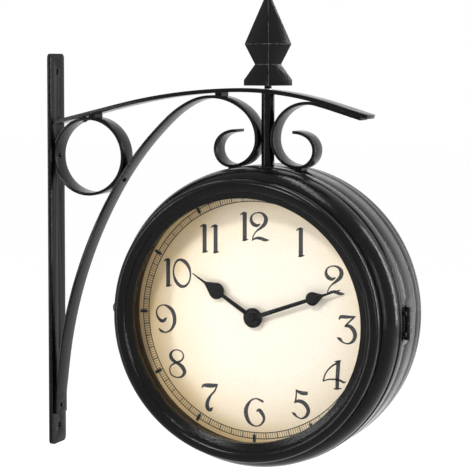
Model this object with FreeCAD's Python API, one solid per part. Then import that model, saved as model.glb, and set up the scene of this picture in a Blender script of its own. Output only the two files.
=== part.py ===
"""Double sided station clock on a scrolled wall bracket.

Millimetres. X points away from the wall, Y from the front dial to the rear
dial, Z up. The origin is on the back of the wall plate, halfway between its
two screw holes. The clock's own axis runs along Y.

Pieces of a clock side are written for the front, with r measured from the
clock's axis and s from the middle plane towards the viewer, and the rear side
is the same set turned half a turn about the post.
"""
import FreeCAD
import Part

import math
import os

from FreeCAD import Vector

# ---- wall plate
plate_width = 30.0
plate_thickness = 4.0
plate_corner_r = 5.0
screw_spacing = 370.0
screw_from_end = 19.0
screw_hole_d = 6.5

# ---- where the clock hangs
clock_reach = 239.0          # wall to the clock's axis
clock_drop = 54.0            # clock's axis below the middle of the wall plate

# ---- flat bars of the bracket
arch_width = 25.0
arch_thickness = 4.0
scroll_width = 22.0
scroll_thickness = 3.0
contact_gap = 0.3            # between bars that lie against each other

arch_root_angle = 13.5
arch_inner_r = 600.0
arch_outer_r = 330.0
arch_top_angle = 1.5         # slope where the two bends meet
arch_top_before_post = 35.0
arch_tip_angle = 17.0
arch_tip_length = 38.0

crown_post_r = 38.0          # brace bar: bend beside the post
crown_post_turn = 50.0
crown_top_r = 54.0
shoulder_r = 100.0
shoulder_end_angle = 42.0
leg_knee_angle = 58.0
leg_foot_angle = 83.0
leg_straight = 30.0
foot_bend_r = 60.0
foot_flat = 16.0
foot_above_screw = 13.0      # from the lower screw hole to the brace's end
crown_fall_angle = 25.0
scroll_low_r = 27.0          # bend that rests on the drum
brace_curl_r = 17.0
brace_curl_turn = 150.0
end_curl_r = 16.5
end_curl_turn = 150.0
curl_open_r = 26.0
curl_open_turn = 32.0
end_setback = 6.0            # end scroll's tail short of the arch's tip
crown_block_height = 2.1     # between the brace's crown and the arch

block_length = 7.0
block_width = 18.0
rivet_shank_r = 1.5
rivet_head_r = 3.0
rivet_head_h = 1.6
hole_clearance = 0.05        # fasteners in their holes, and running fits

# ---- post, tie rod and finial
post_r = 6.5
post_bore_r = 4.5
tie_rod_r = 3.0
tie_rod_below = 9.0          # inside the drum's roof
tie_rod_in_finial = 18.0
nut_across_flats = 10.0
nut_height = 4.0
finial_neck_r = 3.6
finial_neck_h = 3.0
finial_base_side = 34.0
finial_base_h = 5.5
finial_waist_side = 18.5
finial_waist_at = 21.0
finial_belly_side = 33.0
finial_belly_at = 41.0
finial_tip_side = 6.0
finial_height = 85.0
finial_turn = -22.5

# ---- clock case
case_r = 147.5
case_depth = 144.0
sheet = 2.0
drum_half = 16.0             # half the width of the drum band
flange_width = 10.5          # inward, from the case's surface
door_gap = 0.3               # seam between the drum and the door
skirt_length = 14.0
groove_depth = 1.6
groove_half = 1.25
bead_step = 0.9              # bead's start below the case's surface
bead_length = 24.0
bead_bulge = 3.0             # of its rounded back above a straight slope
bead_taper = 9.1             # from the bead's start in to the front
bezel_inset = 0.8            # front ring's outside in from the bead's end
bezel_round = 5.5            # from the front ring's outside in to its crown
bezel_inner_slope = 7.0      # from the crown in to the lip's upper edge
lip_reach = 6.0              # from the lip's upper edge in to its own edge
lip_thickness = 6.5
lip_slope_h = 1.9
bezel_wall = 2.0
glass_seat_width = 4.0
glass_thickness = 2.5
glass_clearance = 0.3
glass_overlap = 6.0          # of the lip over the glass
shell_screw_count = 6
shell_screw_inset = 6.0      # screw circle in from the case's surface

# ---- dials
dial_ring_wall = 1.5
dial_ring_depth = 18.5
dial_seat_width = 6.5
dial_thickness = 1.2
dial_screw_r = 1.2
dial_screw_head_r = 2.2
bezel_screw_r = 1.5
bezel_screw_head_r = 2.8
screw_head_h = 1.8
screw_head_gap = 0.4         # between a screw's head and the wall beside it
boss_r = 3.4
boss_sink = 0.5              # of a boss into the wall beside it and below the top
boss_hole_depth = 8.0
screw_end_gap = 1.0
screw_head_round = 1.0
quarter_count = 4

# ---- door hinge
hinge_length = 32.0
hinge_out = 1.6              # hinge axis outside the case's surface
knuckle_r = 2.6
knuckle_count = 4
knuckle_gap = 0.25
hinge_pin_r = 1.2
hinge_leaf = 10.0
leaf_thickness = 1.0
leaf_seat = 0.05
leaf_rivet_r = 1.2
leaf_rivet_head_r = 2.2
leaf_rivet_rise = 10.0
leaf_rivet_from_seam = 6.5

# ---- door latch
latch_from_seam = 7.0
latch_spindle_r = 2.0
latch_knob_r = 6.2
latch_knob_neck = 3.5
latch_knob_neck_r = 3.7
latch_knob_round = 3.1
latch_knob_length = 10.5
hook_thickness = 1.5
hook_wall_gap = 1.2
hook_inner_r = 10.0
hook_outer_r = 12.5
hook_hub_r = 4.0
hook_arm_width = 3.5
hook_arm_angle = 33.0
hook_lead_angle = 15.0
slot_clearance = 1.2
notch_clearance = 1.0

# ---- movement and hands
movement_wall = 1.5
battery_clearance = 0.4
contact_thickness = 1.2
bushing_r = 4.0
bushing_bore_r = 2.66
bushing_length = 4.6
bushing_nut_flats = 13.0
bushing_nut_h = 2.2
arbor_r = 1.5
running_clearance = 0.06
hour_tube_r = 2.6
gear_module = 0.5
cannon_teeth = 10
motion_wheel_teeth = 30
motion_pinion_teeth = 8
hour_wheel_teeth = 32
wheel_thickness = 1.2
wheel_gap = 1.0
tooth_root_share = 0.42      # of the pitch
tooth_tip_share = 0.17
tooth_addendum = 0.35
tooth_dedendum = 0.45
motion_arbor_r = 1.0
set_knob_r = 5.5
set_knob_h = 4.0
set_knob_flutes = 12
set_knob_flute_r = 0.7
battery_r = 7.1
battery_length = 49.3        # without its button
battery_button_r = 2.6
battery_button_h = 1.3
contact_width = 9.0
coil_r = 4.0
coil_length = 15.0
coil_core_r = 1.6
coil_core_length = 20.0
coil_reach = 20.0            # coil's axis from the clock's axis
coil_rise = 2.0

hand_thickness = 0.8
hour_hand_above_dial = 4.2
minute_hand_above_hour = 1.6
hour_hand_length = 76.0
hour_hand_spade_at = 45.5
hour_hand_spade_r = 8.2
minute_hand_length = 96.0
minute_hand_spade_at = 66.0
minute_hand_spade_r = 6.7
spade_shoulder = 0.8         # half width and height of its point's root, and
spade_shoulder_rise = 0.6    # its point's reach, in shares of its radius
spade_point = 2.0
hand_root_width = 4.6
hand_neck_width = 3.6
hand_tip_width = 0.9
hour_hub_r = 9.8
minute_hub_r = 6.5
hand_nut_r = 3.4
hand_nut_h = 2.4
hand_nut_round = 1.4
hand_nut_thread = 1.4        # of the arbor inside the nut
hour_hand_angle = 302.5
minute_hand_angle = 70.5

# ---- places worked out from the sizes above
quarter_turn = 90
half_turn = 180
full_turn = 360

plate_length = screw_spacing + 2 * screw_from_end
foot_drop = screw_spacing / 2 - foot_above_screw
clock_z = -clock_drop
clock_centre = Vector(clock_reach, 0, clock_z)
half_depth = case_depth / 2

flange_inner_r = case_r - flange_width
shell_screw_circle_r = case_r - shell_screw_inset
bead_r = case_r - bead_step
rim_r = bead_r - bead_taper
bezel_r = rim_r - bezel_inset
bezel_crown_r = bezel_r - bezel_round
bezel_inner_edge_r = bezel_crown_r - bezel_inner_slope
lip_r = bezel_inner_edge_r - lip_reach
glass_r = lip_r + glass_overlap
opening_r = glass_r - glass_seat_width
dial_ring_r = glass_r
dial_r = dial_ring_r + dial_seat_width
dial_screw_circle_r = dial_ring_r + dial_ring_wall + screw_head_gap + dial_screw_head_r
bezel_screw_circle_r = dial_ring_r + dial_ring_wall + screw_head_gap + bezel_screw_head_r

seam_front = drum_half + door_gap
skirt_end = drum_half + skirt_length
bead_s = skirt_end + 2 * groove_half
rim_s = bead_s + bead_length
seat_s = rim_s - sheet
glass_front_s = rim_s + glass_thickness
dial_ring_back = seat_s - dial_ring_depth
dial_face = dial_ring_back
dial_back = dial_face - dial_thickness
movement_side = battery_length + battery_button_h + 2 * (contact_thickness + movement_wall)
movement_depth = 2 * (battery_r + battery_clearance + movement_wall)
battery_drop = movement_side / 2 - movement_wall - battery_clearance - battery_r
movement_back = dial_back - movement_depth
hinge_x = clock_reach + case_r + hinge_out
latch_s = drum_half + latch_from_seam

shapes = {}


# ---------------------------------------------------------------- helpers
def cylinder(radius, length, base, direction):
    """Solid cylinder from base along direction."""
    return Part.makeCylinder(radius, length, base, direction)


def block(x0, x1, y0, y1, z0, z1):
    """Solid box between two corners."""
    return Part.makeBox(x1 - x0, y1 - y0, z1 - z0, Vector(x0, y0, z0))


def on_side(radius, angle, s):
    """Point of the front side: angle runs clockwise from twelve o'clock."""
    return clock_centre + Vector(radius * sine(angle), -s, radius * cosine(angle))


def tube(outer_r, inner_r, s_back, s_front):
    """Round ring about the clock's axis."""
    towards_viewer = Vector(0, -1, 0)
    base = clock_centre + Vector(0, -s_back, 0)
    ring = cylinder(outer_r, s_front - s_back, base, towards_viewer)
    if inner_r > 0:
        ring = ring.cut(cylinder(inner_r, s_front - s_back, base, towards_viewer))
    return ring


def turned(start, *steps):
    """Ring turned from an outline in (r, s).

    A step is the next corner, or a pair of points for an arc through the
    first of them to the second.
    """
    def place(point):
        return clock_centre + Vector(point[0], -point[1], 0)

    edges = []
    here = start
    for step in list(steps) + [start]:
        if isinstance(step[0], tuple):
            middle, end = step
            edges.append(Part.Arc(place(here), place(middle), place(end)).toShape())
        else:
            end = step
            edges.append(Part.makeLine(place(here), place(end)))
        here = end
    face = Part.Face(Part.Wire(edges))
    return face.revolve(clock_centre, Vector(0, 1, 0), full_turn)


def bulged(start, end, bulge):
    """Middle of an arc in (r, s) that bulges to the right of the way from start to end."""
    run, rise = end[0] - start[0], end[1] - start[1]
    length = math.hypot(run, rise)
    return ((start[0] + end[0]) / 2 + bulge * rise / length, (start[1] + end[1]) / 2 - bulge * run / length)


def level_bulge(start, end):
    """Bulge of an arc between two points that is level, in s, at one of them."""
    run, rise = abs(end[0] - start[0]), abs(end[1] - start[1])
    return math.hypot(run, rise) / 2 * math.tan(math.atan2(rise, run) / 2)


def rear(shape):
    """The front side's piece, turned to the rear side."""
    copy = shape.copy()
    copy.rotate(clock_centre, Vector(0, 0, 1), half_turn)
    return copy


def hexagon(across_flats, height, base, direction=Vector(0, 0, 1)):
    """Hexagonal prism standing on base along direction."""
    corner_r = across_flats / math.sqrt(3)
    side_count = 6
    step = full_turn / side_count
    corners = [Vector(corner_r * cosine(i * step), corner_r * sine(i * step), 0)
               for i in range(side_count + 1)]
    prism = Part.Face(Part.makePolygon(corners)).extrude(Vector(0, 0, height))
    prism.Placement = FreeCAD.Placement(base, FreeCAD.Rotation(Vector(0, 0, 1), direction))
    return prism


def group(solids):
    """Several separate solids that share one node."""
    return Part.makeCompound(solids)


def sine(angle):
    return math.sin(math.radians(angle))


def cosine(angle):
    return math.cos(math.radians(angle))


def heading_vector(angle):
    return Vector(cosine(angle), 0, sine(angle))


def left_of(angle):
    return Vector(-sine(angle), 0, cosine(angle))


class BarPath:
    """Centre line of a bent flat bar in the X-Z plane, drawn as a walk."""

    def __init__(self, start, heading):
        self.here = start
        self.heading = heading
        self.pieces = []

    def straight(self, length):
        self.pieces.append((self.here, self.heading, length, 0.0, 0.0))
        self.here = self.here + heading_vector(self.heading) * length
        return self

    def bend(self, radius, turn):
        """A positive turn goes to the left."""
        self.pieces.append((self.here, self.heading, 0.0, radius, turn))
        self.here = self.point(self.pieces[-1], 1.0, 0.0)
        self.heading = self.heading + turn
        return self

    @staticmethod
    def point(piece, share, offset):
        """Point part of the way along a piece, offset to its left."""
        start, heading, length, radius, turn = piece
        if turn == 0.0:
            return start + heading_vector(heading) * (length * share) + left_of(heading) * offset
        side = math.copysign(radius, turn)
        centre = start + left_of(heading) * side
        return centre + left_of(heading + turn * share) * (offset - side)

    def side(self, offset):
        """Edges of the whole path, offset to its left."""
        edges = []
        for piece in self.pieces:
            begin, middle, end = (self.point(piece, share, offset) for share in (0.0, 0.5, 1.0))
            if piece[4] == 0.0:
                edges.append(Part.makeLine(begin, end))
            else:
                edges.append(Part.Arc(begin, middle, end).toShape())
        return edges

    def bar(self, thickness, width):
        """The flat bar that follows the path."""
        first, last = self.pieces[0], self.pieces[-1]
        half = thickness / 2
        caps = [Part.makeLine(self.point(first, 0.0, half), self.point(first, 0.0, -half)),
                Part.makeLine(self.point(last, 1.0, half), self.point(last, 1.0, -half))]
        loop = Part.Wire(Part.__sortEdges__(self.side(half) + self.side(-half) + caps))
        bar = Part.Face(loop).extrude(Vector(0, width, 0))
        bar.translate(Vector(0, -width / 2, 0))
        return bar


def rivet(head_seat, direction, grip, flush_tail):
    """Rivet with a domed head on head_seat and its shank along direction.

    Its far end is flush, or has a second head.
    """
    head_edge = [Vector(0, 0, -rivet_head_h), Vector(rivet_head_r, 0, 0)]
    ball_r = (rivet_head_r ** 2 + rivet_head_h ** 2) / (2 * rivet_head_h)
    slant = math.asin(rivet_head_r / ball_r) / 2
    on_dome = Vector(ball_r * math.sin(slant), 0, ball_r * (1 - math.cos(slant)) - rivet_head_h)
    outline = [Part.Arc(head_edge[0], on_dome, head_edge[1]).toShape(),
               Part.makeLine(head_edge[1], Vector(rivet_shank_r, 0, 0)),
               Part.makeLine(Vector(rivet_shank_r, 0, 0), Vector(rivet_shank_r, 0, grip))]
    if flush_tail:
        tip = Vector(0, 0, grip)
        outline.append(Part.makeLine(Vector(rivet_shank_r, 0, grip), tip))
    else:
        tip = Vector(0, 0, grip + rivet_head_h)
        edge = Vector(rivet_head_r, 0, grip)
        outline.append(Part.makeLine(Vector(rivet_shank_r, 0, grip), edge))
        outline.append(Part.Arc(edge, Vector(on_dome.x, 0, grip - on_dome.z), tip).toShape())
    outline.append(Part.makeLine(tip, head_edge[0]))
    body = Part.Face(Part.Wire(outline)).revolve(Vector(0, 0, 0), Vector(0, 0, 1), full_turn)
    body.Placement = FreeCAD.Placement(head_seat, FreeCAD.Rotation(Vector(0, 0, 1), direction))
    return body


def rivet_hole(head_seat, direction, grip):
    """Clearance hole for a rivet, a little longer than its shank."""
    spare = 1.0
    start = head_seat - direction * spare
    return cylinder(rivet_shank_r + hole_clearance, grip + 2 * spare, start, direction)


# ---------------------------------------------------------------- bracket
def wall_plate():
    plate = block(0, plate_thickness, -plate_width / 2, plate_width / 2, -plate_length / 2, plate_length / 2)
    corner_edges = [edge for edge in plate.Edges
                    if abs(edge.Vertexes[0].Point.x - edge.Vertexes[-1].Point.x) > plate_thickness / 2]
    plate = plate.makeFillet(plate_corner_r, corner_edges)
    for z in (-screw_spacing / 2, screw_spacing / 2):
        plate = plate.cut(cylinder(screw_hole_d / 2, plate_thickness, Vector(0, 0, z), Vector(1, 0, 0)))
    return plate


def arch_root():
    """Point where the arch's centre line leaves the plate.

    It lies so high that the arch clears the brace's crown by the block between them.
    """
    crown = brace_crown()
    bend_centre_x = clock_reach - arch_top_before_post + arch_inner_r * sine(arch_top_angle)
    underside_r = arch_inner_r - arch_thickness / 2
    underside_z = crown.z + scroll_thickness / 2 + crown_block_height
    bend_centre_z = underside_z - math.sqrt(underside_r ** 2 - (crown.x - bend_centre_x) ** 2)
    bend_start = Vector(bend_centre_x, 0, bend_centre_z) + left_of(arch_root_angle) * arch_inner_r
    run = bend_start.x - plate_thickness
    return Vector(plate_thickness, 0, bend_start.z - run * math.tan(math.radians(arch_root_angle)))


def arch_path():
    """Centre line of the arch, from the plate over the post to its tip."""
    bend_reach = arch_inner_r * (sine(arch_root_angle) - sine(arch_top_angle))
    run = clock_reach - arch_top_before_post - plate_thickness - bend_reach
    path = BarPath(arch_root(), arch_root_angle)
    path.straight(run / cosine(arch_root_angle))
    path.bend(arch_inner_r, arch_top_angle - arch_root_angle)
    path.bend(arch_outer_r, -arch_top_angle - arch_tip_angle)
    return path.straight(arch_tip_length)


def arch_bar(path):
    """The arch, cut square against the plate's face."""
    leave = arch_root()
    stub_length = plate_thickness / cosine(arch_root_angle)
    stub = BarPath(leave - heading_vector(arch_root_angle) * stub_length, arch_root_angle)
    stub.straight(stub_length)
    bar = path.bar(arch_thickness, arch_width).fuse(stub.bar(arch_thickness, arch_width)).removeSplitter()
    inside_plate = block(-plate_thickness, plate_thickness, -arch_width, arch_width,
                         leave.z - plate_width, leave.z + plate_width)
    return bar.cut(inside_plate)


def scroll_anchor(side):
    """Where a scroll passes the post: x of its bar there, and z where its low bend starts."""
    beside_post = post_r + contact_gap + scroll_thickness / 2
    low_centre = beside_post + scroll_low_r
    reach = case_r + contact_gap + scroll_low_r + scroll_thickness / 2
    z = clock_z + math.sqrt(reach ** 2 - low_centre ** 2)
    return Vector(clock_reach + side * beside_post, 0, z)


def brace_crown():
    """Highest point of the brace bar, left of the post."""
    across = crown_post_r * (1 - cosine(crown_post_turn)) + crown_top_r * cosine(crown_post_turn)
    up = crown_post_r * sine(crown_post_turn) + crown_top_r * (1 - sine(crown_post_turn))
    return scroll_anchor(-1) + Vector(-across, 0, up)


def solve_pair(a, b, c, d, e, f):
    """x and y of a*x + b*y = c and d*x + e*y = f."""
    det = a * e - b * d
    return (c * e - b * f) / det, (a * f - c * d) / det


def brace_leg_path():
    """From the crown down to the foot that lies flat on the wall plate."""
    crown = brace_crown()
    foot_x = plate_thickness + contact_gap + scroll_thickness / 2
    last_turn = quarter_turn - leg_foot_angle
    across = (crown_top_r * sine(crown_fall_angle)
              + shoulder_r * (sine(shoulder_end_angle) - sine(crown_fall_angle))
              + leg_straight * cosine(leg_foot_angle) + foot_bend_r * (1 - cosine(last_turn)))
    down = (crown_top_r * (1 - cosine(crown_fall_angle))
            + shoulder_r * (cosine(crown_fall_angle) - cosine(shoulder_end_angle))
            + leg_straight * sine(leg_foot_angle) + foot_bend_r * sine(last_turn) + foot_flat)
    upper_r, lower_r = solve_pair(
        sine(leg_knee_angle) - sine(shoulder_end_angle), sine(leg_foot_angle) - sine(leg_knee_angle),
        crown.x - foot_x - across,
        cosine(shoulder_end_angle) - cosine(leg_knee_angle), cosine(leg_knee_angle) - cosine(leg_foot_angle),
        crown.z + foot_drop - down)
    path = BarPath(crown, half_turn)
    path.bend(crown_top_r, crown_fall_angle)
    path.bend(shoulder_r, shoulder_end_angle - crown_fall_angle)
    path.bend(upper_r, leg_knee_angle - shoulder_end_angle)
    path.bend(lower_r, leg_foot_angle - leg_knee_angle)
    path.straight(leg_straight)
    path.bend(foot_bend_r, last_turn)
    return path.straight(foot_flat)


def brace_curl_path():
    """From the crown past the post and the drum's roof to the curled tip."""
    path = BarPath(brace_crown(), 0)
    path.bend(crown_top_r, crown_post_turn - quarter_turn)
    path.bend(crown_post_r, -crown_post_turn)
    path.bend(scroll_low_r, -quarter_turn)
    path.bend(brace_curl_r, -brace_curl_turn)
    return path.bend(curl_open_r, -curl_open_turn)


def end_scroll_path(arch):
    """From under the arch's tip round to the post, the drum's roof and the tip."""
    slope = -arch_tip_angle
    below = (arch_thickness + scroll_thickness) / 2 + contact_gap
    tail = arch.here - left_of(slope) * below - heading_vector(slope) * end_setback
    anchor = scroll_anchor(1)
    path = BarPath(tail, half_turn - arch_tip_angle)
    path.straight(arch_tip_length - end_setback)
    follow_r = arch_outer_r - below
    reach = path.here + left_of(path.heading) * follow_r - anchor
    upper_r = (follow_r ** 2 - reach.Length ** 2) / (2 * (follow_r - reach.x))
    away = reach - Vector(upper_r, 0, 0)
    leave_angle = math.degrees(math.atan2(-away.x, away.z))
    path.bend(follow_r, leave_angle - path.heading)
    path.bend(upper_r, half_turn + quarter_turn - leave_angle)
    path.bend(scroll_low_r, quarter_turn)
    path.bend(end_curl_r, end_curl_turn)
    return path.bend(curl_open_r, curl_open_turn)


def ring_place(leg):
    """Centre and outer radius of the ring that nests in plate, arch and brace."""
    leg_line = Part.Wire(leg.side(0.0))

    def centre_for(radius):
        x = plate_thickness + contact_gap + radius
        line_z = arch_root().z + (x - plate_thickness) * math.tan(math.radians(arch_root_angle))
        clear = radius + contact_gap + arch_thickness / 2
        return Vector(x, 0, line_z - clear / cosine(arch_root_angle))

    low, high = 0.0, plate_length / 4
    for _ in range(40):
        radius = (low + high) / 2
        room = Part.Vertex(centre_for(radius)).distToShape(leg_line)[0]
        if room > radius + contact_gap + scroll_thickness / 2:
            low = radius
        else:
            high = radius
    return centre_for(low), low


def bracket():
    """Plate, arch, brace, ring, end scroll, blocks and rivets."""
    arch_line = arch_path()
    leg = brace_leg_path()
    plate = wall_plate()
    arch = arch_bar(arch_line)
    brace = leg.bar(scroll_thickness, scroll_width)
    brace = brace.fuse(brace_curl_path().bar(scroll_thickness, scroll_width)).removeSplitter()
    end = end_scroll_path(arch_line).bar(scroll_thickness, scroll_width)
    ring_centre, ring_r = ring_place(leg)
    across = Vector(0, 1, 0)
    ring_base = ring_centre - across * (scroll_width / 2)
    ring = cylinder(ring_r, scroll_width, ring_base, across)
    ring = ring.cut(cylinder(ring_r - scroll_thickness, scroll_width, ring_base, across))

    out = Vector(1, 0, 0)
    arch_normal = left_of(arch_root_angle)
    tip_normal = left_of(-arch_tip_angle)
    stack = 2 * scroll_thickness + contact_gap
    on_plate = plate_thickness + contact_gap + scroll_thickness
    under_arch = arch_thickness + contact_gap + scroll_thickness
    tip_seat = (arch_line.here - heading_vector(-arch_tip_angle) * (end_setback + 2 * block_length)
                - tip_normal * (arch_thickness / 2 + contact_gap + scroll_thickness))
    leg_line = Part.Wire(leg.side(0.0))
    touch = Part.Vertex(ring_centre).distToShape(leg_line)[1][0][1]
    touch_normal = (touch - ring_centre).normalize()
    lift = contact_gap / 2
    in_ring = ring_r - scroll_thickness - lift

    rivets = []
    for seat, direction, grip, flush_tail, holed in (
            (Vector(on_plate + lift, 0, ring_centre.z), out * -1, on_plate + lift, True, "ring plate"),
            (Vector(on_plate, 0, foot_flat / 2 - foot_drop), out * -1, on_plate, True, "brace plate"),
            (ring_centre + arch_normal * in_ring, arch_normal, under_arch + lift, True, "ring arch"),
            (ring_centre + touch_normal * in_ring, touch_normal, stack + 2 * lift, False, "ring brace"),
            (tip_seat, tip_normal, under_arch, True, "end arch")):
        rivets.append(rivet(seat, direction, grip, flush_tail))
        hole = rivet_hole(seat, direction, grip)
        if "plate" in holed:
            plate = plate.cut(hole)
        if "arch" in holed:
            arch = arch.cut(hole)
        if "ring" in holed:
            ring = ring.cut(hole)
        if "brace" in holed:
            brace = brace.cut(hole)
        if "end" in holed:
            end = end.cut(hole)

    drum_round = cylinder(case_r, scroll_width, clock_centre - across * (scroll_width / 2), across)
    tall = 4 * block_length
    half_length = block_length / 2
    half_width = block_width / 2
    blocks = []
    for x, top, bottom in (
            (ring_centre.x + block_length / 2, arch, ring),
            (brace_crown().x + block_length, arch, brace),
            (scroll_anchor(-1).x - scroll_low_r, brace, drum_round),
            (scroll_anchor(1).x + scroll_low_r, end, drum_round)):
        column = block(x - half_length, x + half_length, -half_width, half_width, -plate_length, plate_length)
        lower = column.common(bottom).BoundBox.ZMax
        upper_pieces = [solid for solid in column.common(top).Solids if solid.BoundBox.ZMax > lower]
        upper = min(solid.BoundBox.ZMin for solid in upper_pieces)
        spacer = column.common(block(x - tall, x + tall, -tall, tall, lower - scroll_thickness / 2,
                                     upper + scroll_thickness / 2))
        spacer = spacer.cut(top).cut(bottom)
        blocks.append(max(spacer.Solids, key=lambda solid: solid.Volume))

    shapes["wall_plate"] = plate
    shapes["arch_bar"] = arch
    shapes["brace_bar"] = brace
    shapes["ring_scroll"] = ring
    shapes["end_scroll"] = end
    shapes["bracket_rivets"] = group(rivets)
    shapes["spacer_blocks"] = group(blocks)


def post_and_finial():
    """Post between drum and arch, the rod through it, its nut and the finial."""
    up = Vector(0, 0, 1)
    arch = shapes["arch_bar"]
    drum_top = clock_z + case_r
    at_post = block(clock_reach - post_r, clock_reach + post_r, -post_r, post_r,
                    drum_top, drum_top + plate_length)
    arch_here = arch.common(at_post).BoundBox
    post = cylinder(post_r, arch_here.ZMax - drum_top, Vector(clock_reach, 0, drum_top - sheet), up)
    post = post.cut(cylinder(post_bore_r, plate_length, Vector(clock_reach, 0, drum_top - sheet), up))
    along = Vector(0, 1, 0)
    drum_round = cylinder(case_r, case_depth, clock_centre - along * half_depth, along)
    under_arch = arch.common(at_post)
    above_arch = block(clock_reach - 2 * post_r, clock_reach + 2 * post_r, -2 * post_r, 2 * post_r,
                       arch_here.ZMin + arch_thickness / 2, arch_here.ZMax + 2 * arch_thickness)
    post = max(post.cut(drum_round).cut(under_arch).cut(above_arch).Solids, key=lambda solid: solid.Volume)
    shapes["post_tube"] = post

    neck_seat = arch_here.ZMax
    finial_z = neck_seat + finial_neck_h
    rod_low = drum_top - sheet - tie_rod_below
    rod_top = finial_z + tie_rod_in_finial
    rod_hole_r = tie_rod_r + hole_clearance
    shapes["tie_rod"] = cylinder(tie_rod_r, rod_top - rod_low, Vector(clock_reach, 0, rod_low), up)
    shapes["arch_bar"] = arch.cut(cylinder(rod_hole_r, 4 * arch_thickness,
                                           Vector(clock_reach, 0, neck_seat - 3 * arch_thickness), up))

    inner_top = clock_z + math.sqrt((case_r - sheet) ** 2 - (nut_across_flats / math.sqrt(3)) ** 2)
    nut_seat = Vector(clock_reach, 0, inner_top - nut_height)
    nut = hexagon(nut_across_flats, nut_height, nut_seat)
    shapes["tie_nut"] = nut.cut(cylinder(rod_hole_r, nut_height, nut_seat, up))

    def square(side, height):
        half = side / 2
        corners = [(-half, -half), (half, -half), (half, half), (-half, half), (-half, -half)]
        return Part.makePolygon([Vector(x, y, height) for x, y in corners])

    stations = [[(finial_base_side, 0.0), (finial_base_side, finial_base_h)],
                [(finial_base_side, finial_base_h), (finial_waist_side, finial_waist_at)],
                [(finial_waist_side, finial_waist_at), (finial_belly_side, finial_belly_at)],
                [(finial_belly_side, finial_belly_at), (finial_tip_side, finial_height)]]
    finial = cylinder(finial_neck_r, finial_neck_h, Vector(0, 0, -finial_neck_h), up)
    for station in stations:
        finial = finial.fuse(Part.makeLoft([square(side, height) for side, height in station], True, True))
    rod_end = tie_rod_in_finial + hole_clearance
    finial = finial.cut(cylinder(rod_hole_r, rod_end + finial_neck_h, Vector(0, 0, -finial_neck_h), up))
    finial.rotate(Vector(0, 0, 0), up, finial_turn)
    finial.translate(Vector(clock_reach, 0, finial_z))
    shapes["finial"] = finial


# ---------------------------------------------------------------- case
def case_shell(seam):
    """Skirt, groove, bead and glass seat of one side, from the seam forwards."""
    groove_s = skirt_end + groove_half
    bead_start = (bead_r, bead_s)
    bead_end = (rim_r, rim_s)
    inner_start = (rim_r - sheet, seat_s)
    inner_end = (bead_r - sheet, bead_s)
    return turned((case_r, seam),
                   (case_r, skirt_end),
                   (case_r - groove_depth, groove_s),
                   bead_start,
                   (bulged(bead_start, bead_end, bead_bulge), bead_end),
                   (opening_r, rim_s),
                   (opening_r, seat_s),
                   inner_start,
                   (bulged(inner_start, inner_end, -bead_bulge), inner_end),
                   (case_r - sheet - groove_depth, groove_s),
                   (case_r - sheet, skirt_end),
                   (case_r - sheet, seam + sheet),
                   (flange_inner_r, seam + sheet),
                   (flange_inner_r, seam))


def screw_angle(index):
    """Where the front ring's screws are, halfway between the dial's own."""
    return (index + 0.5) * full_turn / quarter_count


def bezel():
    """Rounded front ring with its sloping lip, hollow behind."""
    lip_back = glass_front_s
    lip_front = lip_back + lip_thickness
    edge_s = lip_front + lip_slope_h
    shoulder_s = half_depth - (bezel_r - bezel_crown_r)
    shoulder = (bezel_r, shoulder_s)
    crown = (bezel_crown_r, half_depth)
    edge = (bezel_inner_edge_r, edge_s)
    outer_mid = bulged(shoulder, crown, level_bulge(shoulder, crown))
    inner_mid = bulged(crown, edge, level_bulge(crown, edge))
    hollow_r = bezel_screw_circle_r - boss_r + boss_sink
    hollow_top = half_depth - bezel_wall
    ring = turned((bezel_r, rim_s),
                  shoulder,
                  (outer_mid, crown),
                  (inner_mid, edge),
                  (lip_r, lip_front),
                  (lip_r, lip_back),
                  (glass_r + glass_clearance, lip_back),
                  (glass_r + glass_clearance, rim_s),
                  (hollow_r, rim_s),
                  (hollow_r, hollow_top - bezel_wall * 2),
                  (bezel_crown_r, hollow_top),
                  (bezel_r - bezel_wall, shoulder_s),
                  (bezel_r - bezel_wall, rim_s))
    for i in range(quarter_count):
        angle = screw_angle(i)
        seat = on_side(bezel_screw_circle_r, angle, rim_s)
        boss = cylinder(boss_r, hollow_top - rim_s - boss_sink, seat, Vector(0, -1, 0))
        ring = ring.fuse(boss)
    for i in range(quarter_count):
        angle = screw_angle(i)
        seat = on_side(bezel_screw_circle_r, angle, rim_s)
        ring = ring.cut(cylinder(bezel_screw_r + hole_clearance, boss_hole_depth, seat, Vector(0, -1, 0)))
    return ring.removeSplitter()


def round_screw(shank_r, head_r, seat, shank_length, towards):
    """Pan head screw: its head lies against seat and its shank runs along towards."""
    away = towards * -1
    head = cylinder(head_r, screw_head_h, seat, away)
    rim_edge = [edge for edge in head.Edges
                if isinstance(edge.Curve, Part.Circle)
                and (edge.Curve.Center - seat).Length > screw_head_h / 2]
    head = head.makeFillet(screw_head_round, rim_edge)
    return head.fuse(cylinder(shank_r, shank_length, seat, towards))


def dial_ring():
    """Dark inner wall between the glass seat and the dial."""
    flange_r = bezel_r - sheet
    wall_r = dial_ring_r + dial_ring_wall
    ring = turned((dial_ring_r, seat_s),
                  (flange_r, seat_s),
                  (flange_r, seat_s - dial_ring_wall),
                  (wall_r, seat_s - dial_ring_wall),
                  (wall_r, dial_ring_back + dial_ring_wall),
                  (dial_r, dial_ring_back + dial_ring_wall),
                  (dial_r, dial_ring_back),
                  (dial_ring_r, dial_ring_back))
    towards = Vector(0, -1, 0)
    for i in range(quarter_count):
        screw_at = on_side(bezel_screw_circle_r, screw_angle(i), dial_ring_back)
        ring = ring.cut(cylinder(bezel_screw_r + hole_clearance, dial_ring_depth, screw_at, towards))
        ring = ring.cut(cylinder(dial_screw_r + hole_clearance, dial_ring_wall,
                                 on_side(dial_screw_circle_r, i * full_turn / quarter_count, dial_ring_back),
                                 towards))
    return ring


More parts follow.
